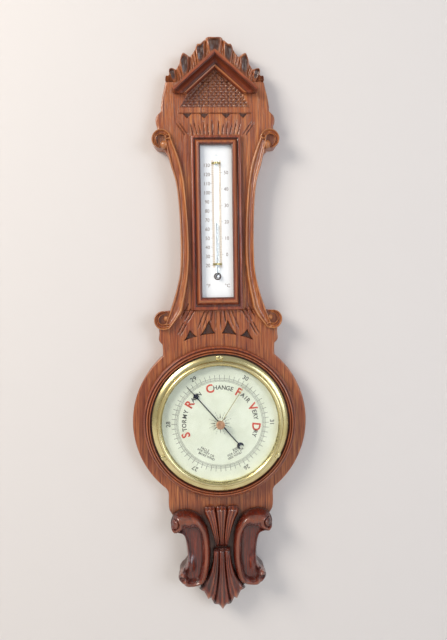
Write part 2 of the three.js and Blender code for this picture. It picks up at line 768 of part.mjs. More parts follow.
// Crest: acanthus leaves that stand on the rakes of the head and curl forwards at their tips. A row holds
// the outer end of a vein or of the cleft beside it, across and up, and where it starts on the rake.
const crestShares = [
  [0.915, 0.55, 0.9], [0.913, 0.607, 0.86], [0.863, 0.607, 0.8], [0.819, 0.664, 0.74], [0.713, 0.675, 0.66],
  [0.569, 0.831, 0.55], [0.45, 0.803, 0.43], [0.306, 0.922, 0.31], [0.231, 0.909, 0.2], [0.15, 1, 0.12],
  [0, 0.973, 0],
];
const leafRiseShares = [[0, 0.72], [0.3, 0.6], [0.6, 0.8], [0.85, 1], [1, 0.7]];
const cleftShare = 0.72;
function crestCarving() {
  const half = crestShares.map(([x, z, root]) => {
    const rootX = root * headHalfWidth;
    const rootZ = Math.max(crestFoot, apexHeight - rootX * Math.tan(rakeAngle)) + seatGap;
    return [x * headHalfWidth, headZ(z), rootX, rootZ];
  });
  const rows = [
    ...half.slice(0, -1).map(([x, z, rootX, rootZ]) => [-x, z, -rootX, rootZ]), ...half.slice().reverse(),
  ];
  const halfway = (row, next) => row.map((value, j) => (value + next[j]) / 2);
  const fine = rows.flatMap((row, i) => (i === rows.length - 1 ? [row] : [row, halfway(row, rows[i + 1])]));
  const last = fine.length - 1;
  return relief({
    across: leafRiseShares.map(([u]) => u),
    along: evenly(last),
    place: (u, v) => {
      const [tipX, tipZ, rootX, rootZ] = fine[Math.round(v * last)];
      return [rootX + (tipX - rootX) * u, Math.max(rootZ + (tipZ - rootZ) * u, rootZ)];
    },
    rise: (u, v) => {
      const place = Math.round(v * last) % 4;
      const fold = place === 0 ? cleftShare : 1 - (place % 2) * (1 - cleftShare) * 0.3;
      return (crestHeight - crestBack) * stepped(leafRiseShares, u) * fold;
    },
    back: crestBack,
  });
}

// Rake of the pediment, right side: a length of moulding, mitred at the apex and cut level at its foot.
const rakeSectionShares = [
  [0, 0], [0, 1], [0.22, 1], [0.22, 0.88], [0.27, 0.88], [0.34, 0.62], [0.46, 0.42], [0.6, 0.29],
  [0.78, 0.24], [0.8, 0.34], [0.94, 0.34], [1, 0.26], [1, 0],
];
function pedimentMoulding() {
  const length = rakeRun / Math.cos(rakeAngle) + pedimentWidth * 2;
  const section = new THREE.Shape(rakeSectionShares.map(([across, rise]) => (
    new THREE.Vector2(-across * pedimentWidth, rise * pedimentHeight))));
  const geometry = new THREE.ExtrudeGeometry(section, { depth: length, bevelEnabled: false });
  // The section lies across and forwards, and the length runs down the rake.
  const along = new THREE.Vector3(Math.cos(rakeAngle), 0, -Math.sin(rakeAngle));
  const outwards = new THREE.Vector3(Math.sin(rakeAngle), 0, Math.cos(rakeAngle));
  const forwards = new THREE.Vector3(0, -1, 0);
  geometry.applyMatrix4(new THREE.Matrix4().makeBasis(outwards, forwards, along));
  geometry.translate(-along.x * pedimentWidth, -boardDepth, apexHeight - along.z * pedimentWidth);
  const size = length * 2;
  return cut(
    solid(geometry),
    block(-size, seatGap / 2, apexHeight - size, apexHeight + size, 0, size),
    block(-size, size, pedimentCutHeight - size, pedimentCutHeight, 0, size),
    block(rakeRun, size, apexHeight - size, apexHeight + size, 0, size),
  );
}

// One mitred length of the thermometer's frame, from its outer edge to its sight edge.
const frameSectionShares = [
  [0, 0.5], [0.06, 0.68], [0.3, 0.72], [0.36, 0.52], [0.48, 0.55], [0.6, 0.9], [0.76, 1], [0.92, 0.86],
  [1, 0.6],
];
function frameLength(outerFrom, outerTo, innerFrom, innerTo) {
  const shrink = ([x, z], [towardsX, towardsZ]) => {
    const length = Math.hypot(towardsX - x, towardsZ - z);
    return [x + ((towardsX - x) * seatGap) / 2 / length, z + ((towardsZ - z) * seatGap) / 2 / length];
  };
  const outer = [shrink(outerFrom, outerTo), shrink(outerTo, outerFrom)];
  const inner = [shrink(innerFrom, innerTo), shrink(innerTo, innerFrom)];
  const mix = (a, b, share) => a.map((value, k) => value * (1 - share) + b[k] * share);
  return relief({
    across: frameSectionShares.map(([u]) => u),
    along: [0, 1],
    place: (u, v) => mix(mix(outer[0], inner[0], u), mix(outer[1], inner[1], u), v),
    rise: (u) => frameRelief * stepped(frameSectionShares, u),
    back: boardDepth,
  });
}

// Scrolls of the base: C-scrolls that turn outwards at both ends, each with a fat rounded rim on its inner
// side, a hollow, and a thinner rim outside.
const baseSectionShares = [
  [0, 0.4], [0.07, 0.72], [0.2, 0.97], [0.34, 0.9], [0.46, 0.6], [0.62, 0.48], [0.78, 0.58], [0.9, 0.78],
  [1, 0.4],
];
const baseEndShares = [[0, 0.6], [0.14, 0.92], [0.28, 1], [0.6, 0.92], [0.82, 1], [0.93, 0.85], [1, 0.55]];
function baseScroll() {
  const steps = baseScrollShares.length - 1;
  return relief({
    across: baseSectionShares.map(([u]) => u),
    along: evenly(steps),
    place: (u, v) => {
      const [heightShare, innerShare, outerShare] = baseScrollShares[Math.round(v * steps)];
      return [(innerShare + (outerShare - innerShare) * u) * baseReach, tailZ(heightShare)];
    },
    rise: (u, v) => baseScrollHeight * stepped(baseSectionShares, u) * stepped(baseEndShares, v),
    back: boardDepth,
  });
}

// Leaves of the base: a reeded tulip of three lobes above, a ribbed fan of seven below. The tables give
// half widths and drops as shares of the base's own reach and length.
const tulipTopShare = -0.014;
const tulipFootShare = 0.385;
const tulipWidthShares = [[0, 0.345], [0.1, 0.33], [0.3, 0.262], [0.55, 0.2], [0.925, 0.128], [1, 0.115]];
const tulipNotchShares = [
  [0, 0], [0.2, 0.006], [0.33, 0.04], [0.45, 0.012], [0.7, 0], [0.88, 0.008], [1, 0.03],
];
function baseLeafUpper() {
  return relief({
    across: evenly(18),
    along: [0, 0.08, 0.25, 0.55, 1],
    place: (u, v) => {
      const side = 2 * u - 1;
      const notchShare = (1 - v) * stepped(tulipNotchShares, Math.abs(side));
      const heightShare = tulipTopShare + (tulipFootShare - tulipTopShare) * v + notchShare;
      return [side * baseReach * stepped(tulipWidthShares, v), tailZ(heightShare)];
    },
    rise: (u, v) => {
      const side = 2 * u - 1;
      const rib = 0.72 + 0.28 * Math.cos(Math.PI * 1.5 * side) ** 2;
      return upperLeafHeight * rib * (v === 0 ? 0.6 : 1 - 0.3 * v) * (Math.abs(side) === 1 ? 0.5 : 1);
    },
    back: boardDepth,
  });
}

const fanTopShare = 0.404;
const fanNeckShare = 0.168;
const fanTipShares = [
  [0, 0, 1], [1 / 6, 0.085, 0.948], [1 / 3, 0.165, 0.955], [1 / 2, 0.225, 0.886], [2 / 3, 0.287, 0.892],
  [5 / 6, 0.365, 0.815], [1, 0.457, 0.8],
];
function baseLeafLower() {
  const column = (k) => fanTipShares.map((row) => [row[0], row[k]]);
  const [tipX, tipZ] = [column(1), column(2)];
  return relief({
    across: evenly(24),
    along: [0, 0.08, 0.35, 0.62, 0.84, 1],
    place: (u, v) => {
      const side = 2 * u - 1;
      const neckShare = side * fanNeckShare;
      const reachShare = Math.sign(side) * stepped(tipX, Math.abs(side));
      return [
        baseReach * (neckShare + (reachShare - neckShare) * v ** 2.2),
        tailZ(fanTopShare + (stepped(tipZ, Math.abs(side)) - fanTopShare) * v),
      ];
    },
    rise: (u, v) => {
      const side = 2 * u - 1;
      const rib = 0.72 + 0.28 * Math.abs(Math.cos(Math.PI * 3 * side));
      const swell = 0.6 + 0.4 * Math.sin(Math.PI * Math.min(0.18 + v * 0.9, 1));
      return lowerLeafHeight * rib * swell * (Math.abs(side) === 1 ? 0.5 : 1);
    },
    back: boardDepth,
  });
}

// Turned ring of beads that frames the dial, with the ledge that the bezel's flange rests on.
function dialRing() {
  const width = ringOuterRadius - ringInnerRadius;
  const at = (across, rise) => [ringOuterRadius - across * width, boardDepth + rise * ringRelief];
  return turned([
    [boreRadius, boardDepth], at(0, 0), at(0, 0.34), at(0.12, 0.56), at(0.38, 0.6), at(0.45, 0.86),
    at(0.6, 0.96), at(0.75, 0.87), at(0.86, 1), at(1, 0.93), [ringInnerRadius, ledgeDepth],
    [boreRadius, ledgeDepth],
  ], largeFacets);
}

function drilled(body, circle, angles, radius, back, front) {
  const hole = (degrees) => disc(radius, back, front, tinyFacets, ...polar(circle, degrees));
  return cut(body, ...angles.map(hole));
}

function bezel() {
  const bore = caseRadius + seatGap;
  const neck = bezelRadius - (bezelRadius - bore) * 0.66;
  const rise = (share) => ledgeDepth + share * bezelHeight;
  const flange = turned([
    [bore, ledgeDepth], [bezelRadius, ledgeDepth], [bezelRadius, rise(0.14)], [neck, rise(0.62)],
    [neck - seatGap, rise(0.86)], [bore + seatGap, rise(1)], [sightRadius + seatGap * 2, rise(0.93)],
    [sightRadius, glassFront], [bore, glassFront],
  ], largeFacets);
  const angles = Object.values(bezelScrewAngles);
  const bossFront = ledgeDepth + bezelBossHeight;
  const bosses = angles.map((degrees) => (
    disc(bezelBossRadius, ledgeDepth, bossFront, tinyFacets, ...polar(bezelScrewCircle, degrees))));
  const drilledFlange = drilled(
    cut(join(flange, ...bosses), disc(bore, ledgeDepth - overrun, glassFront - seatGap, largeFacets)),
    bezelScrewCircle, angles, bezelScrewRadius + runningGap, ledgeDepth - overrun, bezelFront + overrun,
  );
  const spotFace = screwHeadRadius + seatGap * 2;
  return drilled(drilledFlange, bezelScrewCircle, angles, spotFace, bossFront, bezelFront + overrun);
}

// Indicating hand: a fine blade with a leaf-shaped swelling near its tip and a crescent on its tail.
const handShares = [
  [1, 0.15], [0.78, 0.45], [0.755, 1.2], [0.735, 3], [0.715, 3.4], [0.7, 1.6], [0.685, 2.6], [0.67, 1.1],
  [0.64, 0.5], [0.03, 0.6],
];
function indicatingHand() {
  const blade = handShares.map(([reach, width]) => [reach * handLength, width * handWidth]);
  const tail = [[-handTail * 0.88, handWidth * 0.5]];
  const upper = [...blade, ...tail];
  const lower = upper.map(([x, z]) => [x, -z]).reverse();
  const outer = handTail * 0.11;
  const crescent = cut(
    disc(outer, handBack, handFront, smallFacets + 4, -handTail + outer * 0.2, 0),
    disc(outer * 0.62, handBack - overrun, handFront + overrun, smallFacets, -handTail - outer * 0.3, 0),
  );
  return cut(
    join(
      plate(outline([...upper, ...lower]), handBack, handFront), crescent,
      disc(handHubRadius, handBack - handLift * 0.6, handFront + handThickness, smallFacets),
    ),
    disc(arborRadius + runningGap, 0, bezelFront, tinyFacets),
  );
}

const setHandShares = [[1, 0.15], [0.9, 0.4], [0, 0.4], [-0.12, 0.5]];
const setHandBack = glassBack - runningGap - handThickness * 2.4;
function setHand() {
  const blade = setHandShares.map(([reach, width]) => [reach * setHandLength, width * handWidth]);
  const shape = outline([...blade, ...blade.map(([x, z]) => [x, -z]).reverse()]);
  return join(
    plate(shape, setHandBack, setHandBack + handThickness),
    disc(setHandHubRadius, setHandBack, glassBack - runningGap, smallFacets),
  );
}

function setHandKnob() {
  const rim = [];
  for (let k = 0; k < knurlCount; k += 1) {
    const turn = 360 / knurlCount;
    rim.push(polar(knobRadius, turn * k), polar(knobRadius - knurlDepth, turn * (k + 0.5)));
  }
  const back = glassFront + runningGap;
  const skirt = plate(outline(rim), back + knobHeight * 0.3, back + knobHeight * 0.85);
  const turning = turned([
    [0, glassBack - runningGap], [knobSpindleRadius, glassBack - runningGap], [knobSpindleRadius, back],
    [knobRadius * 0.55, back],
    [knobRadius * 0.45, back + knobHeight * 0.3], [knobRadius * 0.9, back + knobHeight * 0.3],
    [knobRadius * 0.9, back + knobHeight * 0.9], [knobRadius * 0.6, back + knobHeight],
    [0, back + knobHeight],
  ], smallFacets);
  return join(skirt, turning);
}

// Vacuum capsule: two corrugated diaphragms soldered at the rim, with a boss on each.
function vacuumCapsule() {
  const middle = (capsuleBack + capsuleFront) / 2;
  const span = capsuleRadius * 0.94 - capsuleBossRadius;
  const waves = evenly(corrugations * 2).map((share, i) => [
    capsuleBossRadius + span * share, i % 2 === 0 ? 0 : corrugationDepth,
  ]);
  return turned([
    [0, basePlateFront], [capsuleBossRadius, basePlateFront],
    ...waves.map(([radius, dip]) => [radius, capsuleBack + dip]),
    [capsuleRadius, middle - corrugationDepth / 2], [capsuleRadius, middle + corrugationDepth / 2],
    ...waves.reverse().map(([radius, dip]) => [radius, capsuleFront - dip]),
    [capsuleBossRadius, stemFoot], [0, stemFoot],
  ], middleFacets);
}

function capsuleStem() {
  const stem = disc(stemRadius, stemFoot, leverBack - runningGap, smallFacets);
  const half = knifePinLength / 2;
  const edge = stemRadius * 0.7;
  return join(stem, block(-half, half, -edge, edge, knifePinBack, leverBack - runningGap));
}

function springBridge() {
  const half = bridgeSpan / 2;
  const inner = half - bridgeFootLength;
  const bevel = bridgeThickness / 2;
  const rightHalf = [
    [inner - bevel, bridgeBack], [inner, bridgeBack - bevel], [inner, basePlateFront], [half, basePlateFront],
    [half, bridgeFront - bevel], [half - bevel, bridgeFront],
  ];
  const leftHalf = rightHalf.map(([x, depth]) => [-x, depth]).reverse();
  const points = [...rightHalf, ...leftHalf];
  const section = new THREE.Shape(points.map(([x, depth]) => new THREE.Vector2(x, -depth)));
  const geometry = new THREE.ExtrudeGeometry(section, { depth: bridgeWidth, bevelEnabled: false });
  geometry.translate(0, 0, -bridgeWidth / 2);
  return cut(
    solid(geometry),
    disc(stemRadius + runningGap * 4, 0, boardDepth * 2, smallFacets),
    disc(adjusterRadius + runningGap, 0, basePlateFront + adjusterReach, tinyFacets, adjusterX, 0),
  );
}

// Turns a section drawn as depth across and height up to lie square to the x axis.
const sideways = new THREE.Matrix4().makeBasis(
  new THREE.Vector3(0, 1, 0), new THREE.Vector3(0, 0, 1), new THREE.Vector3(1, 0, 0),
);

// Mainspring: a leaf of spring steel bent back over itself, open at the top, that holds the capsule apart.
function mainspring() {
  const inner = mainspringGap / 2;
  const middle = (bridgeFront + mainspringFront) / 2;
  const bend = -mainspringReach;
  const arc = (radius) => evenly(8).map((share) => {
    const angle = Math.PI / 2 + Math.PI * share;
    return [bend + radius * Math.cos(angle), middle + radius * Math.sin(angle)];
  });
  const outerArc = arc(inner + mainspringLeaf);
  const innerArc = arc(inner).reverse();
  const tip = bridgeWidth * 0.42;
  const section = [
    [tip, mainspringFront], ...outerArc, [tip, bridgeFront], [tip, bridgeFront + mainspringLeaf], ...innerArc,
    [tip, upperLeafBack],
  ];
  const shape = new THREE.Shape(section.map(([z, depth]) => new THREE.Vector2(-depth, z)));
  const geometry = new THREE.ExtrudeGeometry(shape, { depth: mainspringWidth, bevelEnabled: false });
  geometry.translate(0, 0, -mainspringWidth / 2);
  geometry.applyMatrix4(sideways);
  return cut(solid(geometry), disc(stemRadius + runningGap, 0, boardDepth * 2, smallFacets));
}

function mainLever() {
  const near = leverWidth / 2;
  const far = leverWidth * 0.36;
  const shape = outline([
    [-near, -near], [near, -near], [near, near * 2], [-leverOffset + far, leverLength + far],
    [-leverOffset - far, leverLength + far], [-near, near * 2],
  ]);
  return plate(shape, leverBack, leverFront);
}

function leverLink() {
  const half = armThickness / 2;
  const z = rockingShaftZ + shortArmLength;
  return block(
    -leverOffset - half, -leverOffset + half, z - half, z + half,
    rockingShaftDepth + armWidth / 2 + runningGap, leverBack - runningGap,
  );
}

// A rod on the axis of the rocking shaft, from -half to half.
function shaftRod(radius, half) {
  const geometry = new THREE.CylinderGeometry(radius, radius, half * 2, smallFacets);
  geometry.rotateZ(Math.PI / 2);
  geometry.translate(0, -rockingShaftDepth, rockingShaftZ);
  return solid(geometry);
}

function rockingShaft() {
  const half = rockingShaftLength / 2;
  const shoulder = half - bracketThickness - seatGap;
  const armHalf = armThickness / 2;
  const longArmFront = rockingShaftDepth + armLength + chainWidth / 2;
  const longArm = block(
    chainX - armHalf, chainX + armHalf, rockingShaftZ - armHalf, rockingShaftZ + armHalf,
    rockingShaftDepth, longArmFront,
  );
  const shortArm = block(
    -leverOffset - armHalf, -leverOffset + armHalf, rockingShaftZ, rockingShaftZ + shortArmLength + armHalf,
    rockingShaftDepth - armWidth / 2, rockingShaftDepth + armWidth / 2,
  );
  const shaft = join(shaftRod(rockingShaftRadius, shoulder), shaftRod(rockingShaftRadius * 0.6, half));
  return join(shaft, longArm, shortArm);
}

function shaftBracket() {
  const half = rockingShaftLength / 2;
  const low = rockingShaftZ - bracketWidth / 2;
  const high = rockingShaftZ + bracketWidth / 2;
  const top = rockingShaftDepth + rockingShaftRadius * 3;
  return cut(
    join(
      block(-half, half, low, high, basePlateFront, basePlateFront + bracketThickness),
      block(-half, -half + bracketThickness, low, high, basePlateFront, top),
      block(half - bracketThickness, half, low, high, basePlateFront, top),
    ),
    shaftRod(rockingShaftRadius * 0.6 + runningGap / 2, half + overrun),
  );
}

// Arbor bridge: two bars on one post, which carry the hand's arbor front and back.
function arborBridge() {
  const half = arborBarWidth / 2;
  const left = -arborPostX - arborPostThickness / 2;
  const right = half;
  const arborBarTop = arborBarFront + arborBarThickness;
  const bar = (back) => block(left, right, -half, half, back, back + arborBarThickness);
  return cut(
    join(
      bar(arborBarBack), bar(arborBarFront),
      block(left, left + arborPostThickness, -half, half, basePlateFront, arborBarTop),
    ),
    disc(arborRadius + runningGap / 2, 0, bezelFront, tinyFacets),
  );
}

// Arbor of the hand: a pivot, the drum that the chain winds on, and the collet that holds the hairspring.
function handArbor() {
  const collet = hairspringInnerRadius - hairspringWire / 2 - seatGap;
  return turned([
    [0, arborBarBack + seatGap], [arborRadius, arborBarBack + seatGap], [arborRadius, drumBack],
    [drumRadius, drumBack],
    [drumRadius, hairspringBack], [collet, hairspringBack], [collet, hairspringBack + hairspringWidth],
    [arborRadius, hairspringBack + hairspringWidth], [arborRadius, handFront + handThickness * 1.3],
    [0, handFront + handThickness * 1.3],
  ], tinyFacets);
}

// Hairspring: a flat spiral, its radius growing evenly with the angle.
function hairspring() {
  const steps = hairspringTurns * smallFacets;
  const radiusAt = (share) => hairspringInnerRadius + (hairspringOuterRadius - hairspringInnerRadius) * share;
  const angleAt = (share) => 180 + 360 * hairspringTurns * share;
  const edge = (offset) => evenly(steps).map((share) => polar(radiusAt(share) + offset, angleAt(share)));
  const strip = outline([...edge(hairspringWire / 2), ...edge(-hairspringWire / 2).reverse()]);
  return plate(strip, hairspringBack, hairspringBack + hairspringWidth);
}

// Chain: a run of flat links, waisted between its rivets. Their flat sides lie across the drum.
const waistHalfShare = 0.3;
const linkHalfShare = 0.5;
function chain() {
  const from = -drumRadius * 2;
  const to = rockingShaftZ - armThickness / 2 - runningGap * 2;
  const middle = drumBack + drumLength / 2;
  const steps = chainLinks * 2;
  const edge = evenly(steps).map((share, i) => [
    (i % 2 === 0 ? waistHalfShare : linkHalfShare) * chainWidth, from + (to - from) * share,
  ]);
  const shape = outline([...edge, ...edge.map(([half, z]) => [-half, z]).reverse()]);
  const geometry = new THREE.ExtrudeGeometry(shape, { depth: chainThickness, bevelEnabled: false });
  geometry.translate(0, 0, -chainThickness / 2);
  geometry.applyMatrix4(sideways);
  geometry.translate(chainX, -middle, 0);
  return solid(geometry);
}

function thermometerTube() {
  const foot = bulbHeight + bulbRadius * 1.2;
  const geometry = new THREE.CylinderGeometry(tubeRadius, tubeRadius, tubeTop - foot, smallFacets);
  geometry.rotateX(Math.PI / 2);
  geometry.translate(0, -tubeDepth, (tubeTop + foot) / 2);
  return solid(geometry);
}

function mercuryBulb() {
  const neck = bulbHeight + bulbRadius * 1.2;
  const ball = evenly(tinyFacets - 2).map((share) => {
    const angle = -Math.PI / 2 + share * Math.PI * 0.86;
    const radius = Math.max(bulbRadius * Math.cos(angle), 0);
    return new THREE.Vector2(radius, bulbHeight + bulbRadius * Math.sin(angle));
  });
  ball[0].x = 0;
  const profile = [...ball, new THREE.Vector2(tubeRadius * 0.6, neck), new THREE.Vector2(0, neck)];
  const geometry = new THREE.LatheGeometry(profile, smallFacets);
  geometry.rotateX(Math.PI / 2);
  geometry.translate(0, -tubeDepth, 0);
  return solid(geometry);
}

// Saddle clip over the tube: a half-round arch with a foot on each side.
function tubeClip(height) {
  const inner = tubeRadius + runningGap;
  const outer = inner + clipThickness;
  const arch = (radius) => evenly(8).map((share) => {
    const angle = Math.PI * share;
    return [radius * Math.cos(angle), tubeDepth + radius * Math.sin(angle)];
  });
  const foot = plateFront + clipThickness;
  const reach = outer + clipFootLength;
  const points = [
    [reach, plateFront], [reach, foot], [outer, foot], ...arch(outer), [-outer, foot], [-reach, foot],
    [-reach, plateFront],
    [-inner, plateFront], ...arch(inner).reverse(), [inner, plateFront],
  ];
  const shape = new THREE.Shape(points.map(([x, depth]) => new THREE.Vector2(x, -depth)));
  const geometry = new THREE.ExtrudeGeometry(shape, { depth: clipWidth, bevelEnabled: false });
  geometry.translate(0, 0, height - clipWidth / 2);
  return solid(geometry);
}

// Hanging plate with a keyhole: the nail's head enters the round hole and slides up the slot.
function keyhole(back, front) {
  return join(
    disc(keyholeRadius, back, front, smallFacets * 2, 0, hangerZ - keyslotTravel / 2),
    block(
      -keyslotHalfWidth, keyslotHalfWidth, hangerZ - keyslotTravel / 2,
      hangerZ + keyslotTravel / 2 + keyslotHalfWidth, back, front,
    ),
  );
}

function hangingPlate() {
  let body = cut(
    block(
      -hangerHalfWidth, hangerHalfWidth, hangerZ - hangerHalfHeight, hangerZ + hangerHalfHeight,
      0, hangerThickness,
    ),
    keyhole(-overrun, hangerThickness + overrun),
  );
  for (const height of hangerScrewHeights) {
    body = cut(
      body,
      disc(coverScrewRadius + runningGap, -overrun, hangerThickness + overrun, tinyFacets, 0, height),
      disc(coverHeadRadius + runningGap, -overrun, hangerHeadDepth, tinyFacets, 0, height),
    );
  }
  return body;
}
// Assembly: the case
addNode(group, 'case_board', caseBoard(), oak());
addNode(group, 'crest_carving', crestCarving(), carvedOak());
addPair('pediment_moulding', pedimentMoulding(), carvedOak());
addPair('side_scroll', sideScroll(), carvedOak());
const bezelScrewHole = bezelScrewRadius + runningGap;
addNode(group, 'dial_surround_ring', drilled(
  dialRing(), bezelScrewCircle, Object.values(bezelScrewAngles), bezelScrewHole,
  boardDepth - overrun, ledgeDepth + overrun,
), carvedOak());
addPair('base_scroll', baseScroll(), carvedOak());
addNode(group, 'base_leaf_upper', baseLeafUpper(), carvedOak());
addNode(group, 'base_leaf_lower', baseLeafLower(), carvedOak());

// The thermometer and its frame
const sightHalfWidth = frameHalfWidth - frameSideWidth;
const sightFoot = neckFoot + frameFootWidth;
const sightTop = frameTop - frameTopWidth;
const corners = (half, low, high) => [[-half, low], [half, low], [half, high], [-half, high]];
const frameCorners = corners(frameHalfWidth, neckFoot, frameTop);
const sightCorners = corners(sightHalfWidth, sightFoot, sightTop);
['bottom', 'right', 'top', 'left'].forEach((side, i) => {
  const next = (i + 1) % frameCorners.length;
  const length = frameLength(frameCorners[i], frameCorners[next], sightCorners[i], sightCorners[next]);
  addNode(group, `thermometer_frame_${side}`, length, carvedOak());
});
addNode(group, 'thermometer_plate', cut(
  block(
    -sightHalfWidth - plateOverlap, sightHalfWidth + plateOverlap, sightFoot - plateOverlap,
    sightTop + plateOverlap, boardDepth - pocketDepth, plateFront,
  ),
  disc(bulbHoleRadius, 0, boardDepth, smallFacets, 0, bulbHeight),
), milkGlass());
addNode(group, 'thermometer_tube', thermometerTube(), clearGlass());
addNode(group, 'mercury_bulb', mercuryBulb(), mercury());
addNode(group, 'tube_clip_upper', tubeClip(upperClipHeight), lacqueredBrass());
addNode(group, 'tube_clip_lower', tubeClip(lowerClipHeight), lacqueredBrass());

// The bezel and glass
addNode(group, 'bezel', bezel(), lacqueredBrass());
for (const [side, degrees] of Object.entries(bezelScrewAngles)) {
  const [x, z] = polar(bezelScrewCircle, degrees);
  const headBack = ledgeDepth + bezelBossHeight;
  const headFront = headBack + screwHeadHeight;
  const tip = headBack - bezelScrewLength;
  addNode(group, `bezel_screw_${side}`, screw({
    x, z, headRadius: screwHeadRadius, headBack, headFront, radius: bezelScrewRadius, tip,
  }), lacqueredBrass());
}
addNode(group, 'glass', cut(
  disc(caseRadius, glassBack, glassFront, largeFacets),
  disc(knobSpindleRadius + runningGap, 0, bezelFront, smallFacets),
), clearGlass());
const dialRadius = caseRadius - caseWall - seatGap;
const spacer = ring(dialRadius - spacerWall, dialRadius, dialFront, glassBack, largeFacets);
addNode(group, 'glass_spacer_ring', spacer, lacqueredBrass());

// The dial and hands
const dialHole = disc(dialHoleRadius, 0, boardDepth * 3, smallFacets);
const dialFace = cut(disc(dialRadius, dialFaceBack, dialFront, largeFacets), dialHole);
const dialPlate = cut(disc(dialRadius, dialPlateBack, dialFaceBack, largeFacets), dialHole);
addNode(group, 'dial_face', dialFace, enamelledDial());
addNode(group, 'dial_plate', dialPlate, lacqueredBrass());
const handTurn = new THREE.Group();
handTurn.rotation.y = -THREE.MathUtils.degToRad(handAngle);
group.add(handTurn);
addNode(handTurn, 'indicating_hand', indicatingHand(), bluedSteel());
const setHandTurn = new THREE.Group();
setHandTurn.rotation.y = -THREE.MathUtils.degToRad(setHandAngle);
group.add(setHandTurn);
addNode(setHandTurn, 'set_hand', setHand(), lacqueredBrass());
addNode(group, 'set_hand_knob', setHandKnob(), copperedBrass());

// The movement
const adjusterHole = disc(adjusterRadius + runningGap, 0, boardDepth, tinyFacets, adjusterX, 0);
addNode(group, 'movement_case', cut(
  turned([
    [0, caseBack], [caseRadius, caseBack], [caseRadius, glassBack], [caseRadius - caseWall, glassBack],
    [caseRadius - caseWall, caseFloor], [0, caseFloor],
  ], largeFacets),
  adjusterHole,
), lacqueredBrass());
addNode(group, 'movement_base_plate', cut(
  disc(basePlateRadius, caseFloor, basePlateFront, middleFacets * 2),
  adjusterHole,
), lacqueredBrass());
dialPillarAngles.forEach((degrees, i) => {
  const [x, z] = polar(dialPillarCircle, degrees);
  const pillar = disc(dialPillarRadius, basePlateFront, dialPlateBack, smallFacets, x, z);
  addNode(group, `dial_pillar_${i + 1}`, pillar, lacqueredBrass());
});
addNode(group, 'vacuum_capsule', vacuumCapsule(), steel());
addNode(group, 'capsule_stem', capsuleStem(), steel());
addNode(group, 'spring_bridge', springBridge(), steel());
addNode(group, 'mainspring', mainspring(), bluedSteel());
addNode(group, 'main_lever', mainLever(), lacqueredBrass());
addNode(group, 'lever_link', leverLink(), steel());
addNode(group, 'rocking_shaft', rockingShaft(), steel());
addNode(group, 'shaft_bracket', shaftBracket(), lacqueredBrass());
addNode(group, 'arbor_bridge', arborBridge(), lacqueredBrass());
addNode(group, 'hand_arbor', handArbor(), steel());
addNode(group, 'hairspring', hairspring(), bluedSteel());
addNode(group, 'chain', chain(), steel());
const adjusterHeadBack = caseBack - runningGap;
addNode(group, 'adjusting_screw', screw({
  x: adjusterX, z: 0, headRadius: adjusterHeadRadius, headBack: adjusterHeadBack,
  headFront: adjusterHeadBack - adjusterHeadHeight, radius: adjusterRadius,
  tip: basePlateFront + adjusterReach - overrun,
}), steel());

// The back
const coverDisc = cut(
  disc(coverRadius, 0, coverThickness, largeFacets),
  disc(coverHoleRadius, -overrun, coverThickness + overrun, smallFacets * 2, adjusterX, 0),
);
const coverHeadSeat = coverHeadHeight + seatGap;
const coverDrilled = drilled(
  coverDisc, coverScrewCircle, coverScrewAngles, coverScrewRadius + runningGap, -overrun,
  coverThickness + overrun,
);
addNode(group, 'rear_cover', drilled(
  coverDrilled, coverScrewCircle, coverScrewAngles, coverHeadRadius + runningGap, -overrun, coverHeadSeat,
), oak());
coverScrewAngles.forEach((degrees, i) => {
  const [x, z] = polar(coverScrewCircle, degrees);
  addNode(group, `rear_cover_screw_${i + 1}`, screw({
    x, z, headRadius: coverHeadRadius, headBack: coverHeadSeat, headFront: seatGap,
    radius: coverScrewRadius, tip: coverScrewLength,
  }), steel());
});
addNode(group, 'hanging_plate', hangingPlate(), lacqueredBrass());
['upper', 'lower'].forEach((side, i) => {
  addNode(group, `hanging_screw_${side}`, screw({
    x: 0, z: hangerScrewHeights[i], headRadius: coverHeadRadius, headBack: hangerHeadDepth, headFront: 0,
    radius: coverScrewRadius, tip: hangerScrewLength,
  }), steel());
});

export default group;
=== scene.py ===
import json
import math

import bpy
import numpy as np
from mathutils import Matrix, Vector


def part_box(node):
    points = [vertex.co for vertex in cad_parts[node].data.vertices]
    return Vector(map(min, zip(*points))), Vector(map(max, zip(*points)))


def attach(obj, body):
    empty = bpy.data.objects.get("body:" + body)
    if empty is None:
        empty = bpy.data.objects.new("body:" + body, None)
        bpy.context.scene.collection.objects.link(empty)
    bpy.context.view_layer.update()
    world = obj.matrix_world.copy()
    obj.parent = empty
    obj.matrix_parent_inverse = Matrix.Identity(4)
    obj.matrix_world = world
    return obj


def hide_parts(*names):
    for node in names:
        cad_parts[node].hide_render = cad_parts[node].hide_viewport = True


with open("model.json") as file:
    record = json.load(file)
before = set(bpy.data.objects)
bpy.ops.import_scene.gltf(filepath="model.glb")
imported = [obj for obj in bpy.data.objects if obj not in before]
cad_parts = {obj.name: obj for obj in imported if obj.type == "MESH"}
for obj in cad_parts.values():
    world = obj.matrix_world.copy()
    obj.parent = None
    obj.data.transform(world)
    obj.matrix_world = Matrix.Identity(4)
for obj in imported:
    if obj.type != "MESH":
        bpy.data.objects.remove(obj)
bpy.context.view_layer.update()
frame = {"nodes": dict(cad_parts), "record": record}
nodes = frame["nodes"]
millimetre = 0.001
print("frame loaded:", len(nodes), "nodes")


# An object in the scene
def addObject(name, data):
    added = bpy.data.objects.new(name, data)
    bpy.context.scene.collection.objects.link(added)
    return added


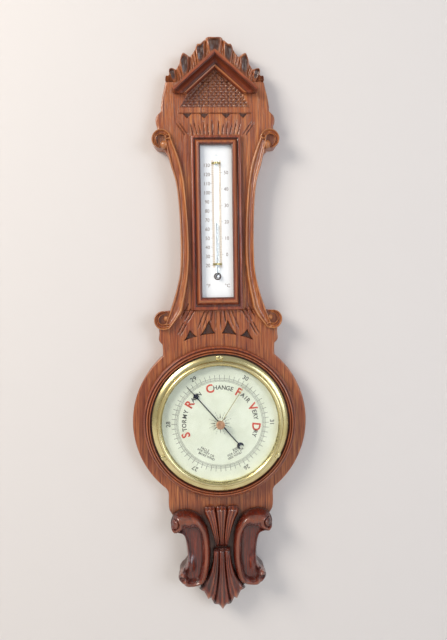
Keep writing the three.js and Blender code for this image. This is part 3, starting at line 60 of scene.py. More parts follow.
# Camera at the photograph's place: in front of the dial, a little to the left and above it
view = {"lens": 33.75, "sensor": 36, "place": (-0.0292, -0.9245, 0.1919), "turn": (87.54, 0.845, -2.384)}
cameraData = bpy.data.cameras.new("camera")
cameraData.lens, cameraData.sensor_width = view["lens"], view["sensor"]
camera = addObject("camera", cameraData)
camera.location = view["place"]
camera.rotation_euler = [math.radians(angle) for angle in view["turn"]]
bpy.context.scene.camera = camera
bpy.context.scene.view_settings.view_transform = "Standard"


# Linear colour from sRGB hex: c / 12.92 up to 0.04045, and ((c + 0.055) / 1.055) ^ 2.4 above it
def linearColour(hexColour):
    channels = np.array([int(hexColour[i:i + 2], 16) for i in (1, 3, 5)]) / 255
    curved = ((channels + 0.055) / 1.055) ** 2.4
    return (*np.where(channels <= 0.04045, channels / 12.92, curved).tolist(), 1.0)


# Adds a node. Inputs hold a value, a socket or a node, which stands for its first output; stops colour a
# ramp.
def addNode(tree, kind, inputs=None, stops=(), **settings):
    node = tree.nodes.new("ShaderNode" + kind)
    for key, value in settings.items():
        setattr(node, key, value)
    for key, value in (inputs or {}).items():
        source = value.outputs[0] if isinstance(value, bpy.types.Node) else value
        if isinstance(source, bpy.types.NodeSocket):
            tree.links.new(source, node.inputs[key])
        else:
            node.inputs[key].default_value = source
    for k, (place, colour) in enumerate(stops):
        elements = node.color_ramp.elements
        element = elements[k] if k < 2 else elements.new(place)
        element.position = place
        element.color = linearColour(colour)
    return node


# A material whose tree is built by a function that gives back its shader
def newMaterial(name, shader, *values):
    material = bpy.data.materials.new(name)
    material.use_nodes = True
    tree = material.node_tree
    tree.nodes.clear()
    addNode(tree, "OutputMaterial", {0: shader(tree, *values)})
    return material


# What the shaders share: noise of one grain size, a value spread from one range to another, arithmetic, a
# mix of two colours by a share, a colour ramp and a bump
def noise(tree, place, size, detail, roughness=0.5, distortion=0.0):
    inputs = {"Vector": place, "Scale": 1 / size, "Detail": detail, "Roughness": roughness}
    return addNode(tree, "TexNoise", dict(inputs, Distortion=distortion))


def spread(tree, value, low, high, toLow=0.0, toHigh=1.0):
    return addNode(tree, "MapRange", {
        "Value": value, "From Min": low, "From Max": high, "To Min": toLow, "To Max": toHigh})


def maths(tree, operation, *values, clamp=False):
    return addNode(tree, "Math", dict(enumerate(values)), operation=operation, use_clamp=clamp)


def mix(tree, share, first, second):
    return addNode(tree, "Mix", {0: share, 6: first, 7: second}, data_type="RGBA").outputs[2]


def ramp(tree, value, stops):
    return addNode(tree, "ValToRGB", {"Fac": value}, stops=stops)


def bump(tree, height, strength, distance):
    return addNode(tree, "Bump", {"Strength": strength, "Distance": distance, "Height": height})


def objectPlace(tree):
    return addNode(tree, "TexCoord").outputs["Object"]


# Quarter-sawn oak under a stained varnish. Orange early wood and dark late wood stand side by side in lines
# a few millimetres wide, with open pores as dark dashes; the real pores are a third of a millimetre wide and
# are drawn coarser to show. A point attribute paints light: above 0 it darkens the hollows as painted shade,
# and below 0 it lightens the edges as a painted highlight that also stands for wear.
def oakShader(tree, look, lean=0.0):
    rotation = (0, math.radians(lean), 0)
    turned = addNode(tree, "Mapping", {"Vector": objectPlace(tree), "Rotation": rotation})

    def streaks(width, length, detail, roughness):
        scale = (1 / width, 1 / width, 1 / length)
        stretched = addNode(tree, "Mapping", {"Vector": turned, "Scale": scale})
        return noise(tree, stretched, 1.0, detail, roughness, 0.8)

    growth = streaks(look["growthWidth"], look["growthLength"], 4.0, 0.6)
    openPores = spread(tree, streaks(look["poreWidth"], look["poreLength"], 2.0, 0.5), 0.52, 0.66)
    patches = noise(tree, turned, look["patchSize"], 2.0)
    # Above 0: painted shade in the hollows; below 0: painted highlight and wear on the edges
    paintedLightAndWear = addNode(tree, "Attribute", attribute_name="paintedLightAndWear").outputs["Fac"]
    shares = {
        "pore": maths(tree, "MULTIPLY", openPores, look["poreDepth"]),
        "patch": spread(tree, patches, 0.45, 0.75, 0.0, look["patchDepth"]),
        "hollow": maths(tree, "MULTIPLY", paintedLightAndWear, look["hollowShadeDepth"], clamp=True),
        "highlightAndWear": maths(tree, "MULTIPLY", paintedLightAndWear, -look["highlightAndWearDepth"], clamp=True),
    }
    colour = ramp(tree, growth, look["growth"])
    for tint, share in shares.items():
        colour = mix(tree, share, colour, linearColour(look[tint]))
    raised = maths(tree, "SUBTRACT", 1.0, maths(tree, "MULTIPLY_ADD", growth, 0.5, openPores))
    return addNode(tree, "BsdfPrincipled", {
        "Base Color": colour, "Normal": bump(tree, raised, 0.6, look["poreRelief"]), "IOR": 1.5,
        "Roughness": spread(tree, growth, 0.3, 0.7, look["roughness"] + 0.06, look["roughness"] - 0.05),
        "Coat Weight": look["varnish"], "Coat Roughness": look["varnishRoughness"],
    })


boardLook = {
    "growth": [(0.3, "#5e2714"), (0.43, "#8c4523"), (0.54, "#a95f32"), (0.7, "#c57f49")],
    "growthWidth": 0.0026, "growthLength": 0.1, "patch": "#7c3020", "patchSize": 0.05, "patchDepth": 0.5,
    "pore": "#3a150d", "poreWidth": 0.0012, "poreLength": 0.03, "poreDepth": 0.6, "poreRelief": 0.0003,
    # Hollow colour: painted shade; edge colour: a painted highlight that also stands for wear
    "hollow": "#260d07", "hollowShadeDepth": 0.88, "highlightAndWear": "#d0925a", "highlightAndWearDepth": 0.6,
    "roughness": 0.36, "varnish": 0.4, "varnishRoughness": 0.2,
}
railLook = dict(boardLook, growth=[(0.3, "#6c2f18"), (0.45, "#984f28"), (0.58, "#b36a38"), (0.74, "#cd8c54")],
                growthWidth=0.0034, patchDepth=0.35, poreDepth=0.5, roughness=0.3, varnish=0.5)
# Darker, redder oak for the base's carvings; its darkness is partly painted shade low on the case
carvedLook = dict(
    boardLook, growth=[(0.3, "#2e0c07"), (0.44, "#50170d"), (0.57, "#712614"), (0.74, "#8e3a1d")],
    patch="#511409", highlightAndWear="#b9714a", growthWidth=0.003, poreDepth=0.55, roughness=0.28, varnish=0.75,
    varnishRoughness=0.11)
boardOak = newMaterial("varnishedOakBoard", oakShader, boardLook)
railOak = newMaterial("varnishedOakRail", oakShader, railLook)
carvedOak = newMaterial("varnishedOakCarved", oakShader, carvedLook)
# Darker, redder oak for the rakes, the thermometer frame and the ring; on the ring its darkness is partly
# painted shade
rakeLook = dict(railLook, growth=[(0.3, "#581d10"), (0.45, "#80341c"), (0.58, "#9a4928"), (0.74, "#b76c40")])
mouldedOak = newMaterial("varnishedOakMoulded", oakShader, rakeLook)
rakeOak = [newMaterial(name, oakShader, rakeLook, lean)
           for name, lean in (("varnishedOakRakeRight", 48.4), ("varnishedOakRakeLeft", -48.4))]


# Metal that was turned and lacquered: fine tool marks in its bump, and a slow mottling where the lacquer aged
def metalShader(tree, light, dark, roughness, mottleSize, markSize):
    place = objectPlace(tree)
    mottle = noise(tree, place, mottleSize, 4.0)
    return addNode(tree, "BsdfPrincipled", {
        "Base Color": ramp(tree, mottle, [(0.32, dark), (0.62, light)]), "Metallic": 1.0,
        "Roughness": spread(tree, mottle, 0.3, 0.7, roughness + 0.06, roughness - 0.04),
        "Normal": bump(tree, noise(tree, place, markSize, 1.0), 0.15, markSize * 0.2),
    })


# Light and dark colour, roughness, and the size of the mottling and of the tool marks in metres
metalLooks = {
    "lacqueredBrass": ("#e6dba8", "#cfbf85", 0.24, 0.03, 0.0006),
    "copperedBrass": ("#dcb497", "#bb8864", 0.3, 0.006, 0.0004),
    "machinedSteel": ("#b4b7ba", "#8f9397", 0.32, 0.01, 0.0005),
    "heatBluedSteel": ("#2c3550", "#1b2030", 0.28, 0.012, 0.0004),
    "quicksilver": ("#d4d7da", "#c2c6ca", 0.12, 0.02, 0.001),
}
metals = {name: newMaterial(name, metalShader, *look) for name, look in metalLooks.items()}


# Enamelled and printed faces: an even glaze, a little cloudy, that yellows slowly
def glazeShader(tree, light, dark, roughness, cloudSize):
    cloud = noise(tree, objectPlace(tree), cloudSize, 5.0, 0.6)
    return addNode(tree, "BsdfPrincipled", {
        "Base Color": ramp(tree, cloud, [(0.3, dark), (0.65, light)]), "Roughness": roughness,
        "Normal": bump(tree, cloud, 0.1, 0.0001),
    })


# Light and dark colour, roughness, and the size of the clouds in metres
glazeLooks = {
    "creamEnamel": ("#dedfcf", "#d2d3c0", 0.42, 0.03),
    "opalGlass": ("#fafdff", "#f1f6fa", 0.2, 0.04),
    "blackInk": ("#34332f", "#262522", 0.5, 0.004),
    "greyInk": ("#6d6d64", "#5c5c54", 0.5, 0.004),
    "redInk": ("#cc4127", "#b8301a", 0.5, 0.004),
    "brownInk": ("#7c675c", "#69554c", 0.5, 0.004),
    "buffInk": ("#e9e0d4", "#dfd2c3", 0.5, 0.006),
}
glazes = {name: newMaterial(name, glazeShader, *look) for name, look in glazeLooks.items()}


# Clear flat glass: it bends what is behind it, and lets the lamps through to the dial
def glassShader(tree):
    ripple = noise(tree, objectPlace(tree), 1 / 18, 1.0)
    clear = addNode(tree, "BsdfPrincipled", {
        "Base Color": linearColour("#f6fafa"), "Roughness": 0.02, "IOR": 1.5, "Transmission Weight": 1.0,
        "Normal": bump(tree, ripple, 0.03, 0.0004),
    })
    through = addNode(tree, "BsdfTransparent", {"Color": linearColour("#f8fbfb")})
    shadow = addNode(tree, "LightPath").outputs["Is Shadow Ray"]
    return addNode(tree, "MixShader", {0: shadow, 1: clear, 2: through})


clearGlass = newMaterial("clearGlass", glassShader)
print("materials made")


# Quads of a grid of rows by columns; either way round can close on itself
def gridFaces(rows, columns, closeRows=False, closeColumns=False):
    rowStarts = np.arange(rows if closeRows else rows - 1)
    columnStarts = np.arange(columns if closeColumns else columns - 1)
    a, b = (part.ravel() for part in np.meshgrid(rowStarts, columnStarts, indexing="ij"))
    nextRow, nextColumn = (a + 1) % rows, (b + 1) % columns
    return np.column_stack([
        a * columns + b, a * columns + nextColumn, nextRow * columns + nextColumn, nextRow * columns + b])


# Faces turned outwards: where the volume under them, a sixth of the sum of each triangle's triple product,
# comes out positive in x, depth and height, which is a left-handed set, they are turned round
def facingOut(points, faces):
    centred = points - points.mean(0)
    volume = 0.0
    for block in faces:
        for k in range(1, block.shape[1] - 1):
            a, b, c = centred[block[:, 0]], centred[block[:, k]], centred[block[:, k + 1]]
            volume += np.einsum("ij,ij->", a, np.cross(b, c))
    return [block[:, ::-1] for block in faces] if volume > 0 else faces


# A mesh of points in millimetres, as x, depth from the wall and height
def makeMesh(name, points, faces, paintedLightAndWear=None, sharpAngle=38.0):
    place = np.column_stack([points[:, 0], -points[:, 1], points[:, 2]]) * millimetre
    rows = [row for block in facingOut(points, faces) for row in block.tolist()]
    mesh = bpy.data.meshes.new(name)
    mesh.from_pydata(place.tolist(), [], rows)
    mesh.polygons.foreach_set("use_smooth", np.ones(len(rows), bool))
    mesh.set_sharp_from_angle(angle=math.radians(sharpAngle))
    # Painted shade and highlight values, with wear, go on the points as an attribute
    if paintedLightAndWear is not None:
        values = np.clip(paintedLightAndWear, -1, 1).astype(np.float32)
        mesh.attributes.new("paintedLightAndWear", "FLOAT", "POINT").data.foreach_set("value", values)
    mesh.update()
    return mesh


# A finished piece: it rides on a body, takes a material, and stands for the nodes it replaces
def addPiece(name, shell, material, replaces=(), body="case", sharpAngle=38.0):
    mesh = makeMesh(name, *shell, sharpAngle=sharpAngle)
    mesh.materials.append(material)
    piece = addObject(name, mesh)
    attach(piece, body)
    if replaces:
        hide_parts(*replaces)
    return piece


# A right carving, and its mirror image on the left
def addPair(name, shell, rightOak, leftOak, node, sharpAngle=38.0):
    points, faces, paintedLightAndWear = shell
    for side, turn, oak in (("right", 1, rightOak), ("left", -1, leftOak)):
        mirrored = points * (turn, 1, 1), faces, paintedLightAndWear
        addPiece(f"{name}.{side}", mirrored, oak, [f"{node}_{side}"], sharpAngle=sharpAngle)


# A node's box in millimetres: its right side, foot, top, back and front, the last two as depths from the wall
def span(name):
    low, high = np.array(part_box(name)) / millimetre
    return {"right": high[0], "foot": low[2], "top": high[2], "back": -high[1], "front": -low[1]}


# Several shells as one list of points, faces and painted shade and highlight values, with the faces counted
# on
def joinShells(*shells):
    points, faces, paintedLightValues, count = [], [], [], 0
    for shellPoints, shellFaces, shellPaintedLight in shells:
        points.append(shellPoints)
        faces += [block + count for block in facingOut(shellPoints, shellFaces)]
        paintedLightValues.append(shellPaintedLight)
        count += len(shellPoints)
    return np.concatenate(points), faces, np.concatenate(paintedLightValues)


# Relief: front points on a grid of rows and columns; the rim goes straight back to one depth, and the flat
# back is a ladder of quads from the left rim to the right
def reliefShell(x, z, depth, back, paintedLightAndWear):
    rows, columns = x.shape
    front = np.stack([x, depth, z], -1).reshape(-1, 3)
    i, j = np.arange(rows), np.arange(columns)
    lastRow = (rows - 1) * columns
    rim = np.concatenate([j[:-1], i[:-1] * columns + columns - 1, lastRow + j[:0:-1], i[:0:-1] * columns])
    behind = front[rim].copy()
    behind[:, 1] = back
    count, total = len(front), len(rim)
    k = np.arange(total)
    walls = np.column_stack([rim, rim[(k + 1) % total], count + (k + 1) % total, count + k])
    left = (total - i) % total
    right = columns - 1 + i
    ladder = np.column_stack([left[1:-2], right[1:-2], right[2:-1], left[2:-1]]) + count
    first = np.concatenate([j, [right[1], left[1]]])[None] + count
    upper = np.arange(right[rows - 1], right[rows - 1] + columns)
    last = np.concatenate([[left[rows - 2], right[rows - 2]], upper])[None] + count
    faces = [gridFaces(rows, columns), walls[:, ::-1], ladder[:, ::-1], first[:, ::-1], last[:, ::-1]]
    frontPaintedLight = np.broadcast_to(paintedLightAndWear, x.shape).ravel()
    return np.concatenate([front, behind]), faces, np.concatenate([frontPaintedLight, frontPaintedLight[rim]])


# Relief whose back lies on the board's front
def onBoard(x, z, rise, paintedLightAndWear):
    return reliefShell(x, z, boardFront + rise, boardFront, paintedLightAndWear)


# A closed profile of radius and depth turned about the dial's axis, or about an axis beside it
def turnedShell(profile, steps, x=0.0, z=0.0, paintedLightAndWear=0.0):
    radius, depth = np.asarray(profile, float).T
    angle = np.arange(steps) * 2 * np.pi / steps
    depths = np.broadcast_to(depth, (steps, len(depth)))
    across, up = np.outer(np.cos(angle), radius), np.outer(np.sin(angle), radius)
    points = np.stack([x + across, depths, z + up], -1).reshape(-1, 3)
    return points, [gridFaces(steps, len(radius), True, True)], np.full(len(points), float(paintedLightAndWear))


# A profile whose ends lie on the axis, turned the same way, with both poles closed by triangles
def domeShell(profile, steps, x=0.0, z=0.0, paintedLightAndWear=0.0):
    profile = np.asarray(profile, float)
    points = turnedShell(profile[1:-1], steps, x, z)[0]
    columns, count = len(profile) - 2, len(points)
    points = np.concatenate([points, [[x, profile[0, 1], z], [x, profile[-1, 1], z]]])
    k = np.arange(steps)
    after = (k + 1) % steps
    first, second, last = k * columns, after * columns, columns - 1
    poles = [np.column_stack([first, np.full(steps, count), second]),
             np.column_stack([second + last, np.full(steps, count + 1), first + last])]
    return points, [gridFaces(steps, columns, True)] + poles, np.full(count + 2, float(paintedLightAndWear))


# A smooth curve through a table of rows, by Catmull-Rom: each stretch is the cubic that meets its neighbours
def smoothRows(table, count):
    table = np.asarray(table, float)
    place = np.linspace(0, len(table) - 1, count)
    k = np.minimum(place.astype(int), len(table) - 2)
    t = (place - k)[:, None]
    a, b, c, d = (table[np.clip(k + step, 0, len(table) - 1)] for step in (-1, 0, 1, 2))
    return b + 0.5 * t * (c - a + t * (2 * a - 5 * b + 4 * c - d + t * (3 * (b - c) + d - a)))


# Cubic ease from 0 to 1 between two values
def ease(value, low, high):
    t = np.clip((value - low) / (high - low), 0, 1)
    return t * t * (3 - 2 * t)


# Bell curve about a middle: e to the minus square of the distance over the width
def bell(value, middle, width):
    return np.exp(-((value - middle) / width) ** 2)


# Arc points about a centre: x + radius * cos(angle), z + radius * sin(angle)
def arcPoints(x, z, radius, fromDegrees, toDegrees, count):
    angle = np.radians(np.linspace(fromDegrees, toDegrees, count))
    return np.column_stack([x + radius * np.cos(angle), z + radius * np.sin(angle)])


# Nearest distance of each point to an open run of straight stretches
def distanceTo(x, z, run):
    start, step = run[:-1], np.diff(run, axis=0)
    offset = np.stack([x, z], -1)[..., None, :] - start
    share = np.clip((offset * step).sum(-1) / (step ** 2).sum(-1), 0, 1)
    return np.linalg.norm(offset - share[..., None] * step, axis=-1).min(-1)


# Sizes from the frame: the round of the board, the stretch of the thermometer's frame and the head above it
boardSpan = span("case_board")
frameTop = span("thermometer_frame_top")["top"]
neckFoot = span("thermometer_frame_bottom")["foot"]
boardFront = boardSpan["front"]
roundRadius = boardSpan["right"]
apex = boardSpan["top"]

# Base scroll, right side, from its crown down: height, inner edge and outer edge. Its button, curl and
# belly are each a middle and a size.
base = {
    "height": 20.0, "fatFoot": -229, "fatCrown": -153, "thin": (-228, -157), "crownX": (34, 50),
    "crownZ": (-171, -156), "reedX": 45, "reedPitch": 2.4, "reedZ": (205, 228),
    "reedBand": (6.5, 3.0), "beadBand": (6, 2.5), "quirkBand": (12.6, 2.2), "creaseHalf": 0.8,
    "button": (71.5, -151, 7.5), "curl": (60.5, -234.5, 4.6), "belly": (48.0, -214.0, 7.0, 13.0),
    "rows": [
        (-133.2, 53.5, 57.5), (-134.2, 47.5, 62.5), (-136.9, 40, 69.5), (-143, 32, 74.5),
        (-151.1, 26.5, 76.6), (-159, 22.2, 74.2), (-165.1, 20.3, 67.5), (-168.5, 19.6, 58.8),
        (-175, 18.5, 55.5), (-186, 17.5, 53.2), (-203, 17.4, 51.8), (-214, 18.3, 53.5), (-221, 19.5, 58),
        (-225.9, 20.5, 63), (-231.7, 21.8, 66.2), (-238, 24, 65.2), (-243.2, 27, 61.2), (-248, 34, 57),
        (-250.6, 43, 53.5), (-251.2, 47.5, 50.5),
    ],
    "fatRim": [(0, 0.3), (0.5, 0.5), (1.5, 0.7), (3, 0.87), (5, 0.98), (7, 1), (8.8, 0.95), (9.8, 0.83),
               (10.3, 0.86), (11.6, 0.74), (13, 0.56), (15, 0.49), (40, 0.47)],
    "thinRim": [(0, 0.3), (0.4, 0.52), (1.2, 0.68), (2.2, 0.74), (3.2, 0.7), (4.4, 0.56), (6, 0.47),
                (40, 0.4)],
    "lengthwise": [(-252, 0.6), (-246, 0.86), (-236, 0.98), (-222, 0.95), (-203, 0.88), (-180, 0.9),
                   (-165, 0.97), (-150, 1.05), (-140, 0.98), (-135, 0.74), (-133, 0.5)],
}
baseRows = smoothRows(base["rows"], 150)

# Board: rows up the case, each from its left edge to its right one. The front is a plane less what the
# gouges, pockets and diaper take out of it, and its edge is eased with a quarter round.
board = {
    # Cut and field values: painted shade in the cuts and the diaper field; shade rows: painted shade low on
    # the case
    "edgeRadius": 2.6, "setback": 1.0, "columns": 173, "cutShade": 2.2, "fieldShade": (0.38, 0.3),
    "shade": [(0.85, 122, 150), (0.14, -90, 60)],
    "foot": [(0.4, -284.2), (12, -275.6), (21, -266), (32.9, -253.9), (44, -250.2)],
    "waist": [(78.4, -135.6), (79.4, -130), (79.7, -122), (79.7, -108), (83.1, -101.6)],
    "lowerEar": [(84.3, 100.6), (84, 106), (84.2, 112), (84.8, 117.4), (87.8, 120.8), (89.5, 124),
                 (89.8, 127), (89.2, 131), (88.8, 135), (89.2, 139), (89.6, 142.5)],
    "rail": [(74.7, 409, 5.0), (66.8, 402, 7.4), (61, 390, 7.8), (54, 361, 6.6), (50.7, 331.6, 6.2),
             (48.6, 295, 6.5), (48, 258, 6.8), (49.4, 228, 6.7), (52.8, 205.8, 7.3), (58, 183.4, 8.4),
             (62.5, 168.6, 9)],
    "upperEar": [(86.4, 434), (86.2, 440.2), (87.9, 445), (88.4, 451), (86.8, 456.5), (83.2, 460.4),
                 (80.7, 463), (80.2, 466.3), (80.4, 469), (79.9, 472.5), (78.8, 479.8), (77.4, 487),
                 (75.4, 494.4), (73.2, 505)],
}
volutes = {
    "upper": {"x": 80.0, "z": 421.5, "turn": (195, -75), "board": (-115, 62), "ball": (76, 413.8, 6.3, 6.4)},
    "lower": {"x": 81.4, "z": 154.0, "turn": (215, 460), "board": (-55, 95), "ball": (77.8, 156.6, 4.4, 4.6)},
    "radius": 14.8, "reach": [0.68, 0.69, 0.72, 0.75, 0.77, 0.8],
    "half": [0.34, 0.32, 0.29, 0.25, 0.23, 0.15],
}


# The board's right edge from foot to apex, as x and height: every stretch follows the carving that stands
# on it, drawn in by the setback, and the round part is an arc about the dial
def boardEdge():
    start = math.degrees(math.atan2(board["waist"][-1][1], board["waist"][-1][0]))
    finish = math.degrees(math.atan2(board["lowerEar"][0][1], board["lowerEar"][0][0]))
    scrollBack = baseRows[(baseRows[:, 0] < -143) & (baseRows[:, 0] > -250)][::-1]
    outer = volutes["radius"] - board["setback"]
    rail = smoothRows(board["rail"], 60)[::-1]
    edge = np.concatenate([
        smoothRows(board["foot"], 20),
        np.column_stack([scrollBack[:, 2] - board["setback"], scrollBack[:, 0]]),
        smoothRows(board["waist"], 20), arcPoints(0, 0, roundRadius, start, finish, 200),
        smoothRows(board["lowerEar"], 60),
        arcPoints(volutes["lower"]["x"], volutes["lower"]["z"], outer, *volutes["lower"]["board"], 40),
        np.column_stack([rail[:, 0] + rail[:, 2] - board["setback"], rail[:, 1]]),
        arcPoints(volutes["upper"]["x"], volutes["upper"]["z"], outer, *volutes["upper"]["board"], 40),
        smoothRows(board["upperEar"], 70), [(rakeX(board["upperEar"][-1][1]), 505.1), (0.4, apex)],
    ])
    edge[:, 1] = np.maximum.accumulate(edge[:, 1]) + np.arange(len(edge)) * 1e-6
    return edge


# Rakes of the head: their slope, the moulding's width across it, and where they end
rake = {"run": 62.6, "drop": 55.5, "width": 16.5, "relief": 21.0, "cut": 488.0, "mitreGap": 0.15}
rake["angle"] = math.atan2(rake["drop"], rake["run"])


# A rake's outer edge at a height: the fall from the apex over the tangent of its slope
def rakeX(z):
    return (apex - z) / math.tan(rake["angle"])


boardOutline = boardEdge()


# Half the board's width at a height, between the points of its edge in straight stretches
def boardHalfWidth(z):
    return np.interp(z, boardOutline[:, 1], boardOutline[:, 0])


# A gouge cut falls as a V from its rims to its line, and fades as a root over the first twelfth and the last
# third of the line
def gougeCut(x, z, start, end, width, cutDepth):
    run = np.subtract(end, start)
    length = np.hypot(*run)
    along = ((x - start[0]) * run[0] + (z - start[1]) * run[1]) / length ** 2
    across = np.abs((x - start[0]) * run[1] - (z - start[1]) * run[0]) / length
    fade = np.sqrt(np.clip(np.minimum(along * 12, (1 - along) * 3), 0, 1))
    return cutDepth * fade * np.clip(1 - across / (width / 2 * np.maximum(fade, 0.05)), 0, 1)


apron = {
    "arc": 132.9, "pocketDepth": 3.4, "pocketRim": 1.1, "hollow": 0.58, "gougeWidth": 2.9, "gougeDepth": 1.9,
    "pockets": [(3.4, 31, 14.1, 153.7), (31.5, 56.3, 43.2, 139.4)],
    "gouges": [((3.5, 167.4), (3.8, 137)), ((8.6, 167.4), (11.7, 147)), ((14.7, 168), (24.8, 138.5)),
               ((20, 168), (32.4, 137.5)), ((34.3, 170.8), (48, 148)), ((48, 148.5), (58, 129)),
               ((40.4, 172), (52, 150)), ((52, 150.5), (62.5, 130.5)), ((44.5, 178), (57, 155))],
}
headPanel = {
    "band": 469.3, "bandHalf": 51.8, "line": 460.0, "lineHalf": 54.4, "lineDepth": 1.3, "lineReach": 1.1,
    "rakeFootX": 40.0, "drops": ((16.3, 6.6, 7.6), (41.5, 6.2, 7.4)), "dropDepth": 2.4,
    "gougeWidth": 2.6, "gougeDepth": 1.7,
    "gouges": [((4.0, 428), (5.2, 451.5)), ((9.8, 428), (12.2, 446)), ((16.2, 428), (18.0, 450)),
               ((21, 428), (25.5, 446)), ((27, 428), (32.5, 452)), ((32.5, 428), (37.5, 446.5)),
               ((41, 429), (55.5, 449.5)), ((45, 427.5), (59.5, 448))],
}
diaper = {"pitchX": 7.4, "pitchZ": 8.2, "sink": 1.9, "rise": 1.5, "crispness": 1.7, "rim": 0.8}


# What is cut from the board: sunk pockets between an arc round the dial and hollow sides that meet in a
# point, V-gouges, drops as inverted triangles with hollow sides, two lines, and small lozenges from crossed
# grooves
def boardCut(x, z):
    taken = np.zeros_like(x)
    side = np.abs(x)
    arc = np.sqrt(np.clip(apron["arc"] ** 2 - x ** 2, 0, None))
    for left, right, apexX, apexZ in apron["pockets"]:
        edges = []
        for start in (left, right):
            startZ = math.sqrt(apron["arc"] ** 2 - start ** 2)
            up = np.clip((z - startZ) / (apexZ - startZ), 0, 1)
            edges.append(start + (apexX - start) * up ** apron["hollow"])
        inside = np.minimum(np.minimum(side - edges[0], edges[1] - side), np.minimum(z - arc, apexZ - z))
        taken = np.maximum(taken, apron["pocketDepth"] * np.clip(inside / apron["pocketRim"], 0, 1))
    for cuts in (apron, headPanel):
        for start, end in cuts["gouges"]:
            taken = np.maximum(taken, gougeCut(side, z, start, end, cuts["gougeWidth"], cuts["gougeDepth"]))
    for middle, half, drop in headPanel["drops"]:
        below = headPanel["line"] - z
        inside = np.minimum(below, drop * np.clip(1 - np.abs(side - middle) / half, 0, 1) ** 0.75 - below)
        taken = np.maximum(taken, headPanel["dropDepth"] * np.clip(inside, 0, 1))
    for line in ("line", "band"):
        fall = np.clip(1 - np.abs(z - headPanel[line]) / headPanel["lineReach"], 0, 1)
        taken = np.maximum(taken, headPanel["lineDepth"] * fall * (side < headPanel[line + "Half"]))
    band, bandHalf = headPanel["band"], headPanel["bandHalf"]
    innerApex = apex - rake["width"] / math.cos(rake["angle"])
    flank = bandHalf - (z - band) * (bandHalf - headPanel["rakeFootX"]) / (rake["cut"] - band)
    field = np.minimum(np.minimum(z - band, innerApex - math.tan(rake["angle"]) * side - z), flank - side)
    a = (x / diaper["pitchX"] + z / diaper["pitchZ"]) % 1
    b = (x / diaper["pitchX"] - z / diaper["pitchZ"]) % 1
    crossed = np.minimum(1 - np.abs(2 * a - 1), 1 - np.abs(2 * b - 1))
    ground = diaper["sink"] - diaper["rise"] * np.clip(diaper["crispness"] * crossed, 0, 1)
    return np.maximum(taken, ground * np.clip(field / diaper["rim"], 0, 1)), field


# Heights of the board's rows, closer where it is carved, and how far its edge columns stand in from the edge
boardRows = np.unique(np.concatenate([
    np.arange(low, high, step) for low, high, step in (
        (-284, -137, 2.4), (-137, -134.5, 0.3), (-134.5, -104, 2.2), (-104, -100, 0.6),
        (-100, 98, 2.2), (98, 112, 1.0), (112, 174, 0.75), (174, 400, 2.8), (400, 427, 0.9),
        (427, 524, 0.75), (524, 545.6, 1.2))
]))
boardEase = np.array([0.0, 0.12, 0.5, 1.3, 2.6])


# The board's front is its plane less the greater of the cuts and the eased edge, whose drop is the edge
# radius less the height of a quarter circle. Painted shade grows with the cuts, a painted highlight runs
# along the eased edge, and painted shade darkens the foot between the carvings, and a little the lower case,
# by eases.
def makeBoard():
    half = boardHalfWidth(boardRows)[:, None]
    scale = np.minimum(half / 5, 1)
    inner = np.linspace(-1, 1, board["columns"])[None] * (half - boardEase[-1] * scale)
    rim = half - boardEase[:-1][None] * scale
    x = np.concatenate([-rim, inner, rim[:, ::-1]], 1)
    z = np.broadcast_to(boardRows[:, None], x.shape)
    dip = np.clip(1 - (half - np.abs(x)) / board["edgeRadius"], 0, 0.995)
    eased = board["edgeRadius"] * (1 - np.sqrt(1 - dip ** 2))
    taken, field = boardCut(x, z)
    least, more = board["fieldShade"]
    cutShade = np.clip(taken / board["cutShade"], 0, 1)
    carved = np.where(field > 0, least + more * taken / diaper["sink"], cutShade)
    shaded = sum(share * ease(-z, low, high) for share, low, high in board["shade"])
    paintedLightAndWear = carved - 0.35 * bell(dip, 0.4, 0.25) + shaded
    return reliefShell(x, z, boardFront - np.maximum(eased, taken), 0.0, paintedLightAndWear)


# A through cut: what the cutter's shell holds is taken from the piece, and the result replaces its mesh
def cutAway(piece, points, faces):
    cutter = addObject("cutter", makeMesh("cutter", points, faces))
    modifier = piece.modifiers.new("cut", "BOOLEAN")
    modifier.operation, modifier.solver, modifier.object = "DIFFERENCE", "EXACT", cutter
    bpy.context.view_layer.update()
    depsgraph = bpy.context.evaluated_depsgraph_get()
    result = bpy.data.meshes.new_from_object(
        piece.evaluated_get(depsgraph), preserve_all_data_layers=True, depsgraph=depsgraph)
    piece.modifiers.clear()
    result.set_sharp_from_angle(angle=math.radians(40))
    piece.data = result
    bpy.data.objects.remove(cutter)


# Faces of bars with eight points each, four behind and four in front, both in the same order round
def barFaces(count):
    k, first = np.arange(4), np.arange(count)[:, None, None] * 8
    walls = np.column_stack([k, (k + 1) % 4, 4 + (k + 1) % 4, 4 + k])
    return [(np.concatenate([walls, [k[::-1], 4 + k]]) + first).reshape(-1, 4)]


# Cutters between two depths: a box round another's sides with play all round it, and a disc
def boxShell(box, play, back, front):
    right, foot, top = box["right"] + play, box["foot"] - play, box["top"] + play
    corners = np.array([(-right, foot), (right, foot), (right, top), (-right, top)], float)
    return np.concatenate([np.insert(corners, 1, depth, axis=1) for depth in (back, front)]), barFaces(1)


def discShell(radius, back, front):
    return domeShell([(0, back), (radius, back), (radius, front), (0, front)], 192)[:2]


